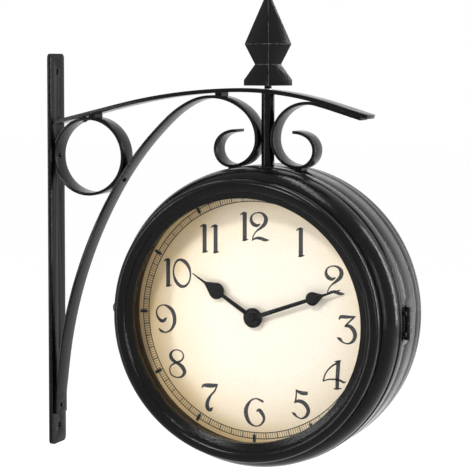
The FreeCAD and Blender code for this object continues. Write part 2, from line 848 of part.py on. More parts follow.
def dial():
    plate = tube(dial_r, bushing_r + hole_clearance, dial_back, dial_face)
    for i in range(quarter_count):
        seat = on_side(dial_screw_circle_r, i * full_turn / quarter_count, dial_back)
        plate = plate.cut(cylinder(dial_screw_r + hole_clearance, dial_thickness, seat, Vector(0, -1, 0)))
    return plate


def face_set(seam):
    """Shell, bezel, glass, dial ring, dial and their screws for the front."""
    towards = Vector(0, -1, 0)
    shell = case_shell(seam)
    bezel_screws = []
    dial_screws = []
    for i in range(quarter_count):
        angle = screw_angle(i)
        head_seat = on_side(bezel_screw_circle_r, angle, seat_s - dial_ring_wall)
        hole = cylinder(bezel_screw_r + hole_clearance, sheet + dial_ring_wall, head_seat, towards)
        shell = shell.cut(hole)
        bezel_screws.append(round_screw(bezel_screw_r, bezel_screw_head_r, head_seat,
                                        dial_ring_wall + sheet + boss_hole_depth - screw_end_gap, towards))
        dial_seat = on_side(dial_screw_circle_r, i * full_turn / quarter_count, dial_back)
        dial_screws.append(round_screw(dial_screw_r, dial_screw_head_r, dial_seat,
                                       dial_thickness + dial_ring_wall, towards))
    return {"shell": shell,
            "bezel": bezel(),
            "glass": tube(glass_r, 0, rim_s, glass_front_s),
            "dial_ring": dial_ring(),
            "dial": dial(),
            "bezel_screws": group(bezel_screws),
            "dial_screws": group(dial_screws)}


def drum():
    """Band between the two seams, with an inner flange at each edge."""
    band = turned((case_r, -drum_half),
                  (case_r, drum_half),
                  (flange_inner_r, drum_half),
                  (flange_inner_r, drum_half - sheet),
                  (case_r - sheet, drum_half - sheet),
                  (case_r - sheet, sheet - drum_half),
                  (flange_inner_r, sheet - drum_half),
                  (flange_inner_r, -drum_half))
    rod_hole = cylinder(tie_rod_r + hole_clearance, case_r, clock_centre, Vector(0, 0, 1))
    return band.cut(rod_hole)


def hinge(drum_shape, door_shape):
    """Leaf hinge at three o'clock on the front seam. Returns the notched drum and door."""
    axis_base = Vector(hinge_x, -drum_half - door_gap / 2, clock_z - hinge_length / 2)
    up = Vector(0, 0, 1)
    out = Vector(1, 0, 0)
    scallop = cylinder(knuckle_r + 2 * knuckle_gap, hinge_length + 2, axis_base - up, up)
    drum_shape = drum_shape.cut(scallop)
    door_shape = door_shape.cut(scallop)

    leaf_r = case_r + leaf_seat
    span = block(clock_reach, hinge_x + case_r, -case_depth, case_depth,
                 clock_z - hinge_length / 2, clock_z + hinge_length / 2)
    step = hinge_length / knuckle_count
    leaves = {}
    for name, near, far, first in (("case", drum_half, drum_half - hinge_leaf, 1),
                                   ("door", seam_front, seam_front + hinge_leaf, 0)):
        band = tube(leaf_r + leaf_thickness, leaf_r, min(near, far), max(near, far))
        band.rotate(clock_centre, Vector(0, 1, 0), half_turn)
        leaf = band.common(span)
        leaf = leaf.cut(cylinder((hinge_pin_r + knuckle_r) / 2, hinge_length, axis_base, up))
        for i in range(knuckle_count):
            start = axis_base + up * (i * step)
            if i % 2 == first:
                start = start + up * (knuckle_gap / 2)
                barrel = cylinder(knuckle_r, step - knuckle_gap, start, up)
                bore = cylinder(hinge_pin_r + hole_clearance, step - knuckle_gap, start, up)
                leaf = leaf.fuse(barrel.cut(bore))
            else:
                leaf = leaf.cut(cylinder(knuckle_r + knuckle_gap, step + knuckle_gap,
                                         start - up * (knuckle_gap / 2), up))
        leaves[name] = leaf

    for name, middle in (("case", drum_half - leaf_rivet_from_seam),
                         ("door", drum_half + leaf_rivet_from_seam)):
        rivets = []
        for rise in (-leaf_rivet_rise, leaf_rivet_rise):
            half_chord = math.sqrt((leaf_r + leaf_thickness) ** 2 - (abs(rise) - leaf_rivet_head_r) ** 2)
            seat = Vector(clock_reach + half_chord, -middle, clock_z + rise)
            length = leaf_thickness + 2 * sheet
            rivets.append(round_screw(leaf_rivet_r, leaf_rivet_head_r, seat, length, out * -1))
            hole = cylinder(leaf_rivet_r + hole_clearance, 3 * length, seat + out * length, out * -1)
            leaves[name] = leaves[name].cut(hole)
            if name == "case":
                drum_shape = drum_shape.cut(hole)
            else:
                door_shape = door_shape.cut(hole)
        shapes["hinge_" + name + "_rivets"] = group(rivets)
        shapes["hinge_" + name + "_leaf"] = leaves[name]
    shapes["hinge_pin"] = cylinder(hinge_pin_r, hinge_length, axis_base, up)
    return drum_shape, door_shape


def latch(drum_shape, door_shape):
    """Turn latch at nine o'clock on the door. Returns the slotted drum and door."""
    inward = Vector(1, 0, 0)
    centre = Vector(clock_reach, -latch_s, clock_z)
    flange_room = case_r - flange_inner_r + sheet
    slot_low = math.sqrt(hook_inner_r ** 2 - (latch_from_seam + sheet) ** 2) - 2 * slot_clearance
    slot_high = math.sqrt(hook_outer_r ** 2 - latch_from_seam ** 2) + slot_clearance
    surface_x = clock_reach - case_r
    slot = block(surface_x, surface_x + flange_room, -drum_half, -drum_half + 2 * sheet,
                 clock_z + slot_low, clock_z + slot_high)
    band = tube(case_r - sheet, 0, -drum_half, drum_half)
    drum_shape = drum_shape.cut(slot.common(band))
    notch = block(surface_x, surface_x + flange_room, -seam_front - 2 * sheet, -seam_front,
                  clock_z - hook_hub_r - notch_clearance, clock_z + hook_outer_r + notch_clearance)
    door_shape = door_shape.cut(notch.common(tube(case_r - sheet, 0, seam_front, skirt_end)))

    hook_x = case_r - sheet - hook_wall_gap
    inner_end = hook_x - hook_thickness
    outer_start = case_r + contact_gap
    knob_start = centre - inward * (outer_start + latch_knob_length)
    knob = cylinder(latch_knob_r, latch_knob_length - latch_knob_neck, knob_start, inward)
    front_edge = [edge for edge in knob.Edges
                  if isinstance(edge.Curve, Part.Circle)
                  and edge.Curve.Center.x < knob_start.x + contact_gap]
    knob = knob.makeFillet(latch_knob_round, front_edge)
    neck = cylinder(latch_knob_neck_r, latch_knob_neck + contact_gap,
                    centre - inward * (outer_start + latch_knob_neck + contact_gap), inward)
    spindle = cylinder(latch_spindle_r, outer_start + contact_gap - inner_end,
                       centre - inward * (outer_start + contact_gap), inward)
    shapes["latch_knob"] = knob.fuse(neck).fuse(spindle)
    door_shape = door_shape.cut(cylinder(latch_spindle_r + running_clearance, flange_room,
                                         centre - inward * (case_r + sheet), inward))

    plane = centre - inward * hook_x
    finger = cylinder(hook_outer_r, hook_thickness, plane, inward)
    finger = finger.cut(cylinder(hook_inner_r, hook_thickness, plane, inward))
    keep = Part.makeCylinder(2 * hook_outer_r, hook_thickness, Vector(0, 0, 0), Vector(0, 0, 1),
                             hook_lead_angle + hook_arm_angle)
    # Local X of the kept sector becomes +Z, the way the finger points when the latch is open.
    keep.rotate(Vector(0, 0, 0), Vector(0, 0, 1), -hook_lead_angle)
    finger_up = FreeCAD.Rotation(Vector(0, 0, 1), Vector(0, -1, 0), Vector(1, 0, 0), "ZXY")
    keep.Placement = FreeCAD.Placement(plane, finger_up).multiply(keep.Placement)
    finger = finger.common(keep)
    half_arm = hook_arm_width / 2
    arm = block(plane.x, plane.x + hook_thickness, plane.y - half_arm, plane.y + half_arm,
                plane.z, plane.z + (hook_inner_r + hook_outer_r) / 2)
    arm.rotate(plane, inward, hook_arm_angle)
    hook = cylinder(hook_hub_r, hook_thickness, plane, inward).fuse(arm).fuse(finger)
    hook = hook.cut(cylinder(latch_spindle_r, hook_thickness, plane, inward))
    shapes["latch_hook"] = hook
    return drum_shape, door_shape


# ---------------------------------------------------------------- movement and hands
def gear(teeth, thickness, centre, phase):
    """Spur wheel with straight flanks; phase is the angle of one tooth."""
    pitch_r = gear_module * teeth / 2
    step = full_turn / teeth
    corners = []
    for i in range(teeth):
        middle = phase + i * step
        for radius, share in ((pitch_r - tooth_dedendum, -tooth_root_share),
                              (pitch_r + tooth_addendum, -tooth_tip_share),
                              (pitch_r + tooth_addendum, tooth_tip_share),
                              (pitch_r - tooth_dedendum, tooth_root_share)):
            turn = math.radians(middle + share * step / 2)
            corners.append(centre + Vector(radius * math.cos(turn), 0, radius * math.sin(turn)))
    corners.append(corners[0])
    return Part.Face(Part.makePolygon(corners)).extrude(Vector(0, -thickness, 0))


def hand(length, spade_at, spade_r, hub_r, back_s, bore_r):
    """Spade hand that points to twelve, with its back at back_s."""
    half_root = hand_root_width / 2
    half_neck = hand_neck_width / 2
    half_tip = hand_tip_width / 2
    outline = [(-half_root, 0), (-half_neck, spade_at), (-half_tip, length),
               (half_tip, length), (half_neck, spade_at), (half_root, 0), (-half_root, 0)]
    plane = clock_centre + Vector(0, -back_s, 0)
    towards = Vector(0, -1, 0)
    blade = Part.Face(Part.makePolygon([plane + Vector(x, 0, z) for x, z in outline]))
    blade = blade.extrude(towards * hand_thickness)
    spade_centre = plane + Vector(0, 0, spade_at)
    spade = cylinder(spade_r, hand_thickness, spade_centre, towards)
    shoulder = spade_r * spade_shoulder
    shoulder_z = spade_r * spade_shoulder_rise
    point = [spade_centre + Vector(-shoulder, 0, shoulder_z),
             spade_centre + Vector(0, 0, spade_r * spade_point),
             spade_centre + Vector(shoulder, 0, shoulder_z)]
    point.append(point[0])
    spade = spade.fuse(Part.Face(Part.makePolygon(point)).extrude(towards * hand_thickness))
    hub = cylinder(hub_r, hand_thickness, plane, towards)
    shape = blade.fuse(spade).fuse(hub).removeSplitter()
    return shape.cut(cylinder(bore_r, hand_thickness, plane, towards))


def movement_set():
    """Quartz movement behind the front dial, its motion work and both hands."""
    towards = Vector(0, -1, 0)
    half = movement_side / 2

    def centred(x0, x1, s0, s1, z0, z1):
        return block(clock_reach + x0, clock_reach + x1, -s1, -s0, clock_z + z0, clock_z + z1)

    def spot(x, s, z):
        return clock_centre + Vector(x, -s, z)

    inner = half - movement_wall
    inside_front = dial_back - movement_wall
    inside_back = movement_back + movement_wall
    case = centred(-half, half, inside_back, dial_back, -half, half)
    case = case.cut(centred(-inner, inner, inside_back, inside_front, -inner, inner))
    bushing_end = dial_back + bushing_length
    case = case.fuse(cylinder(bushing_r, bushing_length, spot(0, dial_back, 0), towards))
    case = case.cut(cylinder(bushing_bore_r, bushing_end - inside_back, spot(0, inside_back, 0), towards))
    cover = centred(-half, half, movement_back, inside_back, -half, half)

    distance = gear_module * (cannon_teeth + motion_wheel_teeth) / 2
    wheel_s = inside_back + wheel_gap
    pinion_s = wheel_s + wheel_thickness
    hour_s = pinion_s + wheel_gap
    arbor_hole = cylinder(motion_arbor_r + running_clearance, movement_wall,
                          spot(0, movement_back, distance), towards)
    cover = cover.cut(arbor_hole)

    hour_back = dial_face + hour_hand_above_dial
    minute_back = hour_back + hand_thickness + minute_hand_above_hour
    tube_end = hour_back + hand_thickness
    arbor_end = minute_back + hand_thickness + hand_nut_thread

    arbor_start = inside_back + contact_gap
    arbor = cylinder(arbor_r, arbor_end - arbor_start, spot(0, arbor_start, 0), towards)
    cannon = gear(cannon_teeth, wheel_thickness, spot(0, wheel_s, 0), quarter_turn)
    arbor = arbor.fuse(cannon)

    hour_wheel = gear(hour_wheel_teeth, wheel_thickness, spot(0, hour_s, 0), quarter_turn)
    tube_length = tube_end - hour_s
    hour_wheel = hour_wheel.fuse(cylinder(hour_tube_r, tube_length, spot(0, hour_s, 0), towards))
    hour_bore = cylinder(arbor_r + running_clearance, tube_length, spot(0, hour_s, 0), towards)
    hour_wheel = hour_wheel.cut(hour_bore)

    motion_axis = spot(0, wheel_s, distance)
    wheel_phase = -quarter_turn + full_turn / motion_wheel_teeth / 2
    pinion_phase = -quarter_turn + full_turn / motion_pinion_teeth / 2
    motion_wheel = gear(motion_wheel_teeth, wheel_thickness, motion_axis, wheel_phase)
    pinion_length = hour_s + wheel_thickness - pinion_s
    motion_wheel = motion_wheel.fuse(gear(motion_pinion_teeth, pinion_length, spot(0, pinion_s, distance),
                                          pinion_phase))
    arbor_back = movement_back - set_knob_h / 2
    motion_end = hour_s + 2 * wheel_thickness
    motion_wheel = motion_wheel.fuse(cylinder(motion_arbor_r, motion_end - arbor_back,
                                              spot(0, arbor_back, distance), towards))

    knob_s = movement_back - contact_gap - set_knob_h
    set_knob = cylinder(set_knob_r, set_knob_h, spot(0, knob_s, distance), towards)
    for i in range(set_knob_flutes):
        turn = math.radians(i * full_turn / set_knob_flutes)
        flute = spot(set_knob_r * math.cos(turn), knob_s, distance + set_knob_r * math.sin(turn))
        set_knob = set_knob.cut(cylinder(set_knob_flute_r, set_knob_h, flute, towards))
    set_knob = set_knob.cut(cylinder(motion_arbor_r, movement_back - arbor_back,
                                     spot(0, arbor_back, distance), towards))

    battery_s = (inside_back + inside_front) / 2
    across = Vector(1, 0, 0)
    battery_reach = (battery_length + battery_button_h) / 2
    battery_end = spot(-battery_reach, battery_s, -battery_drop)
    battery = cylinder(battery_r, battery_length, battery_end, across)
    battery = battery.fuse(cylinder(battery_button_r, 2 * battery_reach, battery_end, across))
    contacts = []
    for x0, x1 in ((-inner, -battery_reach), (battery_reach, inner)):
        contacts.append(centred(x0, x1, battery_s - contact_width / 2, battery_s + contact_width / 2,
                                -battery_drop - contact_width / 2, -battery_drop + contact_width / 2))
    coil_s = inside_back + contact_gap + coil_r
    core_rise = coil_rise - (coil_core_length - coil_length) / 2
    up = Vector(0, 0, 1)
    coil = cylinder(coil_r, coil_length, spot(coil_reach, coil_s, coil_rise), up)
    coil = coil.fuse(cylinder(coil_core_r, coil_core_length, spot(coil_reach, coil_s, core_rise), up))

    nut = hexagon(bushing_nut_flats, bushing_nut_h, spot(0, dial_face, 0), towards)
    nut = nut.cut(cylinder(bushing_r + hole_clearance, bushing_nut_h, spot(0, dial_face, 0), towards))

    hour_hand = hand(hour_hand_length, hour_hand_spade_at, hour_hand_spade_r,
                     hour_hub_r, hour_back, hour_tube_r)
    minute_hand = hand(minute_hand_length, minute_hand_spade_at, minute_hand_spade_r,
                       minute_hub_r, minute_back, arbor_r)
    hour_hand.rotate(clock_centre, Vector(0, 1, 0), hour_hand_angle)
    minute_hand.rotate(clock_centre, Vector(0, 1, 0), minute_hand_angle)

    nut_seat = minute_back + hand_thickness
    hand_nut = cylinder(hand_nut_r, hand_nut_h, spot(0, nut_seat, 0), towards)
    crown_edge = [edge for edge in hand_nut.Edges
                  if isinstance(edge.Curve, Part.Circle)
                  and -edge.Curve.Center.y > nut_seat + hand_nut_h / 2]
    hand_nut = hand_nut.makeFillet(hand_nut_round, crown_edge)
    hand_nut = hand_nut.cut(cylinder(arbor_r, arbor_end - nut_seat, spot(0, nut_seat, 0), towards))
    return {"movement_case": case,
            "movement_cover": cover,
            "bushing_nut": nut,
            "minute_arbor": arbor,
            "minute_hand": minute_hand,
            "hand_nut": hand_nut,
            "hour_wheel": hour_wheel,
            "hour_hand": hour_hand,
            "motion_wheel": motion_wheel,
            "set_knob": set_knob,
            "battery": battery,
            "battery_contacts": group(contacts),
            "drive_coil": coil}


# ---------------------------------------------------------------- assembly
def clock():
    """Drum, door, fixed rear side and the two movements."""
    front = face_set(seam_front)
    back = face_set(drum_half)
    drum_shape = drum()
    door_shape = front.pop("shell")
    rear_shell = back.pop("shell")

    towards = Vector(0, -1, 0)
    shell_screws = []
    for i in range(shell_screw_count):
        seat = on_side(shell_screw_circle_r, (i + 0.5) * full_turn / shell_screw_count, drum_half - sheet)
        hole = cylinder(bezel_screw_r + hole_clearance, 2 * sheet, seat, towards)
        rear_shell = rear_shell.cut(hole)
        drum_shape = drum_shape.cut(rear(hole))
        shell_screws.append(rear(round_screw(bezel_screw_r, bezel_screw_head_r, seat, 2 * sheet, towards)))

    drum_shape, door_shape = hinge(drum_shape, door_shape)
    drum_shape, door_shape = latch(drum_shape, door_shape)
    shapes["case_drum"] = drum_shape
    shapes["door_shell"] = door_shape
    shapes["rear_shell"] = rear(rear_shell)
    shapes["rear_shell_screws"] = group(shell_screws)
    movement = movement_set()
    for name, shape in list(front.items()) + list(movement.items()):
        shapes["front_" + name] = shape
        shapes["rear_" + name] = rear(shape)


def save():
    os.makedirs("parts", exist_ok=True)
    for name, shape in shapes.items():
        shape.exportStep("parts/" + name + ".step")
        print(name, len(shape.Solids), "solids", round(shape.Volume), "mm3")


bracket()
post_and_finial()
clock()
save()
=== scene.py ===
"""Looks of a double sided station clock on a scrolled wall bracket.

Every piece takes its place from the clock's own frame: metres, X away from the
wall, Y from the front dial to the rear dial, Z up.
"""

import logging
import math
from dataclasses import dataclass, field, replace
from enum import Enum
from typing import Iterable, Optional

import bmesh
import bpy
from mathutils import Matrix, Vector


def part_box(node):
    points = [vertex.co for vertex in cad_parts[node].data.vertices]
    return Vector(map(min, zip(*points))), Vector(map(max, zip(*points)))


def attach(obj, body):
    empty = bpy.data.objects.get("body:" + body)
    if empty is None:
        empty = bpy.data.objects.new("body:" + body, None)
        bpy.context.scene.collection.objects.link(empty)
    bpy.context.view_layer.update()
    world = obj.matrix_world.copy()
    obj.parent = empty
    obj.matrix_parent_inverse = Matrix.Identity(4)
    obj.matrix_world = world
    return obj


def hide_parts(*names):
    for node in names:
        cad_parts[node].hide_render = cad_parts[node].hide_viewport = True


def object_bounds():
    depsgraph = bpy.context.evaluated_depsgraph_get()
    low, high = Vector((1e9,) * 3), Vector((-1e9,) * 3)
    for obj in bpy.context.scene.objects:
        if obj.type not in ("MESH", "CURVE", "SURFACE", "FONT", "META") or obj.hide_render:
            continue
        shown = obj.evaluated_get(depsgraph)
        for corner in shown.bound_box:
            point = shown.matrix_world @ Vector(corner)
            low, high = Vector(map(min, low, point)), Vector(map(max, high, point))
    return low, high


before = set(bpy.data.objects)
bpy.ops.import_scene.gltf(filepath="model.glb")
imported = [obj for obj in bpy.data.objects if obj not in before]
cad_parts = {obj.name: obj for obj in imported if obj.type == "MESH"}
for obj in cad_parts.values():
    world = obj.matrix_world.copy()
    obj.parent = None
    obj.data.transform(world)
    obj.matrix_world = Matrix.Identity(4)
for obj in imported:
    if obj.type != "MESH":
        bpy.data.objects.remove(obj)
CAD_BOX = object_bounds()

LOG = logging.getLogger("station_clock")
MM = 0.001
CASE_BODY = "bracket_and_case"
DOOR_BODY = "door"
LATCH_BODY = "latch"
Triple = tuple[float, float, float]
Colour = Triple
Stroke = list[Triple]
Finish = tuple[bpy.types.Material, bpy.types.Material]
WELD_GAP = 2e-6
FLAT_ANGLE = math.radians(0.2)
ROUNDED_ANGLE = math.radians(35)
SHARP_ANGLE = math.radians(32)


# ---------------------------------------------------------------- finishes
class NodeDesk:
    """Short hand for building a material's node tree."""

    def __init__(self, name: str) -> None:
        """Start an empty material with a principled shader.

        Args:
            name: the material's name.
        """
        self.material = bpy.data.materials.new(name)
        self.material.use_nodes = True
        self.tree = self.material.node_tree
        self.shader = self.tree.nodes["Principled BSDF"]
        self.place = self.add("ShaderNodeTexCoord").outputs["Object"]

    def add(self, kind: str, **settings: object) -> bpy.types.Node:
        """Add a node and set its properties.

        Args:
            kind: the node's type name.
            settings: property names and values.

        Returns:
            The new node.
        """
        node = self.tree.nodes.new(kind)
        for key, value in settings.items():
            setattr(node, key, value)
        return node

    def link(self, output: bpy.types.NodeSocket, target: bpy.types.NodeSocket) -> None:
        """Join an output to an input."""
        self.tree.links.new(output, target)

    def noise(self, scale: float, detail: float = 3.0, roughness: float = 0.5,
              stretch: Triple = (1.0, 1.0, 1.0)) -> bpy.types.NodeSocket:
        """Noise over the object's own coordinates.

        Args:
            scale: features per metre.
            detail: octaves.
            roughness: how strong the finer octaves are.
            stretch: scale of the coordinates along each axis.

        Returns:
            The noise value's socket.
        """
        mapping = self.add("ShaderNodeMapping")
        mapping.inputs["Scale"].default_value = stretch
        self.link(self.place, mapping.inputs["Vector"])
        noise = self.add("ShaderNodeTexNoise")
        noise.inputs["Scale"].default_value = scale
        noise.inputs["Detail"].default_value = detail
        noise.inputs["Roughness"].default_value = roughness
        self.link(mapping.outputs["Vector"], noise.inputs["Vector"])
        return noise.outputs["Fac"]

    def ramp(self, value: bpy.types.NodeSocket,
             stops: Iterable[tuple[float, Colour]]) -> bpy.types.NodeSocket:
        """Colours for a value.

        Args:
            value: the socket that is looked up.
            stops: pairs of position and colour.

        Returns:
            The colour socket.
        """
        node = self.add("ShaderNodeValToRGB")
        stops = list(stops)
        elements = node.color_ramp.elements
        while len(elements) < len(stops):
            elements.new(0.5)
        for element, (position, colour) in zip(elements, stops):
            element.position = position
            element.color = (*colour, 1.0)
        self.link(value, node.inputs["Fac"])
        return node.outputs["Color"]

    def span(self, value: bpy.types.NodeSocket, low: float, high: float,
             from_low: float = 0.0, from_high: float = 1.0) -> bpy.types.NodeSocket:
        """Map a value from one range to another, clamped.

        Args:
            value: the socket that is mapped.
            low: result at the range's low end.
            high: result at its high end.
            from_low: low end of the value's range.
            from_high: high end of the value's range.

        Returns:
            The result's socket.
        """
        node = self.add("ShaderNodeMapRange")
        ends = {"From Min": from_low, "From Max": from_high, "To Min": low, "To Max": high}
        for key, number in ends.items():
            node.inputs[key].default_value = number
        self.link(value, node.inputs["Value"])
        return node.outputs["Result"]

    def mix(self, share: bpy.types.NodeSocket, first: bpy.types.NodeSocket,
            second: bpy.types.NodeSocket) -> bpy.types.NodeSocket:
        """Blend two colours.

        Args:
            share: share of the second colour.
            first: the first colour.
            second: the second colour.

        Returns:
            The blended colour's socket.
        """
        node = self.add("ShaderNodeMix", data_type="RGBA")
        self.link(share, node.inputs["Factor"])
        self.link(first, node.inputs["A"])
        self.link(second, node.inputs["B"])
        return node.outputs["Result"]

    def bump(self, height: bpy.types.NodeSocket, depth: float) -> None:
        """Press a height into the shader's normal.

        Args:
            height: the height's socket.
            depth: metres from its lowest to its highest.
        """
        node = self.add("ShaderNodeBump")
        node.inputs["Distance"].default_value = depth
        self.link(height, node.inputs["Height"])
        self.link(node.outputs["Normal"], self.shader.inputs["Normal"])


@dataclass(frozen=True)
class Paint:
    """Gloss paint over metal, with fine grain, faint orange peel, dust and rubbed spots; on rounded edges the lighter
    rubbed patches are partly wear and partly painted highlight.
    """

    name: str
    colour: Colour
    dust: Colour = (0.05, 0.047, 0.044)
    # Colour of rubbed spots on faces, and of the lighter patches along rounded edges, which are partly painted
    # highlight.
    rubbed: Colour = (0.14, 0.135, 0.13)
    roughness: float = 0.26
    shine: float = 0.09
    wear: float = 0.0
    grain: float = 0.00006
    peel: float = 0.00012
    grain_scale: float = 1900.0
    peel_scale: float = 330.0
    cloud_scale: float = 26.0
    spot_scale: float = 150.0
    dust_share: float = 0.4

    def material(self) -> bpy.types.Material:
        """Build the paint's material.

        Returns:
            The material.
        """
        desk = NodeDesk(self.name)
        fine = desk.noise(self.grain_scale, 2.0)
        peel = desk.noise(self.peel_scale, 2.0)
        cloud = desk.noise(self.cloud_scale, 5.0, 0.62)
        lighter = tuple(1.5 * c + 0.002 for c in self.colour)
        base = desk.ramp(fine, [(0.35, self.colour), (0.75, lighter)])
        dusty = desk.ramp(fine, [(0.3, self.colour), (0.8, self.dust)])
        painted = desk.mix(desk.span(cloud, 0.0, self.dust_share, 0.56, 0.85), base, dusty)
        spots = desk.noise(self.spot_scale, 6.0, 0.7)
        # Lighter rubbed patches: a few worn spots on faces, and on rounded edges, where wear is full, partly wear and
        # partly painted highlight.
        bare_and_highlight = desk.ramp(fine, [(0.3, self.rubbed), (0.8, tuple(0.6 * c for c in self.rubbed))])
        worn = desk.span(spots, 0.0, 1.0, 0.72 - 0.3 * self.wear, 0.78 - 0.2 * self.wear)
        desk.link(desk.mix(worn, painted, bare_and_highlight), desk.shader.inputs["Base Color"])
        desk.link(desk.span(cloud, self.roughness - 0.04, self.roughness + 0.12, 0.3, 0.8),
                  desk.shader.inputs["Roughness"])
        height = desk.add("ShaderNodeMath", operation="MULTIPLY_ADD")
        height.inputs[1].default_value = self.grain / self.peel
        desk.link(fine, height.inputs[0])
        desk.link(peel, height.inputs[2])
        desk.bump(height.outputs["Value"], self.peel)
        desk.shader.inputs["Specular IOR Level"].default_value = self.shine
        return desk.material


@dataclass(frozen=True)
class Metal:
    """Bare metal with drawn lines and a little tarnish."""

    name: str
    colour: Colour
    tarnish: Colour
    roughness: float = 0.3
    line_scale: float = 420.0
    line_stretch: Triple = (1.0, 1.0, 14.0)
    line_depth: float = 0.00003
    cloud_scale: float = 60.0

    def material(self) -> bpy.types.Material:
        """Build the metal's material.

        Returns:
            The material.
        """
        desk = NodeDesk(self.name)
        lines = desk.noise(self.line_scale, 3.0, 0.6, self.line_stretch)
        cloud = desk.noise(self.cloud_scale, 4.0, 0.6)
        tone = desk.ramp(cloud, [(0.4, self.colour), (0.8, self.tarnish)])
        desk.link(tone, desk.shader.inputs["Base Color"])
        dull = desk.span(lines, self.roughness - 0.08, self.roughness + 0.14)
        desk.link(dull, desk.shader.inputs["Roughness"])
        desk.bump(lines, self.line_depth)
        desk.shader.inputs["Metallic"].default_value = 1.0
        return desk.material


@dataclass(frozen=True)
class Moulded:
    """Moulded plastic with a fine spark-eroded grain."""

    name: str
    colour: Colour
    roughness: float = 0.5
    grain_scale: float = 1500.0
    grain_depth: float = 0.00005
    cloud_scale: float = 40.0

    def material(self) -> bpy.types.Material:
        """Build the plastic's material.

        Returns:
            The material.
        """
        desk = NodeDesk(self.name)
        grain = desk.noise(self.grain_scale, 2.0)
        cloud = desk.noise(self.cloud_scale, 3.0)
        lighter = tuple(min(1.0, 1.25 * c + 0.01) for c in self.colour)
        tone = desk.ramp(cloud, [(0.35, self.colour), (0.75, lighter)])
        desk.link(tone, desk.shader.inputs["Base Color"])
        dull = desk.span(grain, self.roughness - 0.08, self.roughness + 0.1)
        desk.link(dull, desk.shader.inputs["Roughness"])
        desk.bump(grain, self.grain_depth)
        return desk.material


@dataclass(frozen=True)
class AgedDial:
    """Cream dial paper, paler in the middle and amber towards the rim; the pale middle is shifted off the centre, so
    one side of the rim is darker: painted shade.
    """

    name: str
    centre: Vector
    radius: float
    # Shift of the pale middle off the dial's centre; it darkens one side of the rim as painted shade.
    heart_shift: Triple = (0.016, 0.0, 0.002)
    heart: Colour = (0.94, 0.87, 0.75)
    body: Colour = (0.93, 0.80, 0.60)
    rim: Colour = (0.82, 0.60, 0.30)
    roughness: float = 0.62
    wander: float = 0.035
    cloud_scale: float = 17.0
    fibre_scale: float = 900.0
    fibre_depth: float = 0.00002

    def material(self) -> bpy.types.Material:
        """Build the dial's material.

        Returns:
            The material.
        """
        desk = NodeDesk(self.name)
        # The pale middle sits off the centre by the shift, so one side of the rim turns darker and more amber: painted
        # shade; the rest of the amber rim is aged paper.
        away = desk.add("ShaderNodeVectorMath", operation="SUBTRACT")
        away.inputs[1].default_value = self.centre + Vector(self.heart_shift)
        desk.link(desk.place, away.inputs[0])
        flat = desk.add("ShaderNodeVectorMath", operation="MULTIPLY")
        flat.inputs[1].default_value = (1.0, 0.0, 1.0)
        desk.link(away.outputs["Vector"], flat.inputs[0])
        length = desk.add("ShaderNodeVectorMath", operation="LENGTH")
        desk.link(flat.outputs["Vector"], length.inputs[0])
        cloud = desk.noise(self.cloud_scale, 4.0, 0.55)
        drift = desk.add("ShaderNodeMath", operation="MULTIPLY_ADD")
        drift.inputs[1].default_value = self.wander
        desk.link(cloud, drift.inputs[0])
        desk.link(length.outputs["Value"], drift.inputs[2])
        middle = self.wander / 2
        share = desk.span(drift.outputs["Value"], 0.0, 1.0, middle, self.radius + middle)
        aged = desk.ramp(share, [(0.0, self.heart), (0.45, self.heart), (0.78, self.body), (1.0, self.rim)])
        fibres = desk.noise(self.fibre_scale, 3.0)
        speck = desk.ramp(fibres, [(0.3, (0.93, 0.92, 0.90)), (0.6, (1.0, 1.0, 1.0))])
        tint = desk.add("ShaderNodeMix", data_type="RGBA", blend_type="MULTIPLY")
        tint.inputs["Factor"].default_value = 1.0
        desk.link(aged, tint.inputs["A"])
        desk.link(speck, tint.inputs["B"])
        desk.link(tint.outputs["Result"], desk.shader.inputs["Base Color"])
        desk.shader.inputs["Roughness"].default_value = self.roughness
        desk.bump(fibres, self.fibre_depth)
        return desk.material


@dataclass(frozen=True)
class PrintedInk:
    """Dark printed ink with worn, paler specks."""

    name: str
    colour: Colour = (0.010, 0.010, 0.012)
    faded: Colour = (0.035, 0.035, 0.038)
    worn: Colour = (0.18, 0.17, 0.16)
    speck_scale: float = 700.0

    def material(self) -> bpy.types.Material:
        """Build the ink's material.

        Returns:
            The material.
        """
        desk = NodeDesk(self.name)
        specks = desk.noise(self.speck_scale, 4.0, 0.7)
        tone = desk.ramp(specks, [(0.45, self.colour), (0.62, self.faded), (0.8, self.worn)])
        desk.link(tone, desk.shader.inputs["Base Color"])
        desk.link(desk.span(specks, 0.45, 0.7), desk.shader.inputs["Roughness"])
        return desk.material


@dataclass(frozen=True)
class ClearGlass:
    """Thin clear glass: a faint mirror over what lies behind, stronger at a grazing angle."""

    name: str
    mirror_share: float = 0.006
    grazing_power: float = 5.0
    tint: Colour = (0.95, 0.97, 0.96)
    smear_scale: float = 9.0

    def material(self) -> bpy.types.Material:
        """Build the glass's material.

        Returns:
            The material.
        """
        desk = NodeDesk(self.name)
        edge_on = desk.add("ShaderNodeLayerWeight")
        edge_on.inputs["Blend"].default_value = 0.5
        steep = desk.add("ShaderNodeMath", operation="POWER")
        steep.inputs[1].default_value = self.grazing_power
        desk.link(edge_on.outputs["Facing"], steep.inputs[0])
        shine = desk.span(steep.outputs["Value"], self.mirror_share, 1.0)
        smear = desk.noise(self.smear_scale, 3.0)
        desk.link(desk.span(smear, 0.015, 0.045, 0.3, 0.8), desk.shader.inputs["Roughness"])
        desk.shader.inputs["Base Color"].default_value = (*self.tint, 1.0)
        desk.shader.inputs["Metallic"].default_value = 1.0
        desk.link(shine, desk.shader.inputs["Alpha"])
        return desk.material


# ---------------------------------------------------------------- shapes
class Side(Enum):
    """The two faces of the clock."""

    FRONT = "front"
    REAR = "rear"

    @property
    def body(self) -> str:
        """Body that the side's fixed pieces ride on."""
        return DOOR_BODY if self is Side.FRONT else CASE_BODY

    def node(self, piece: str) -> str:
        """Name of the side's own piece."""
        return f"{self.value}_{piece}"


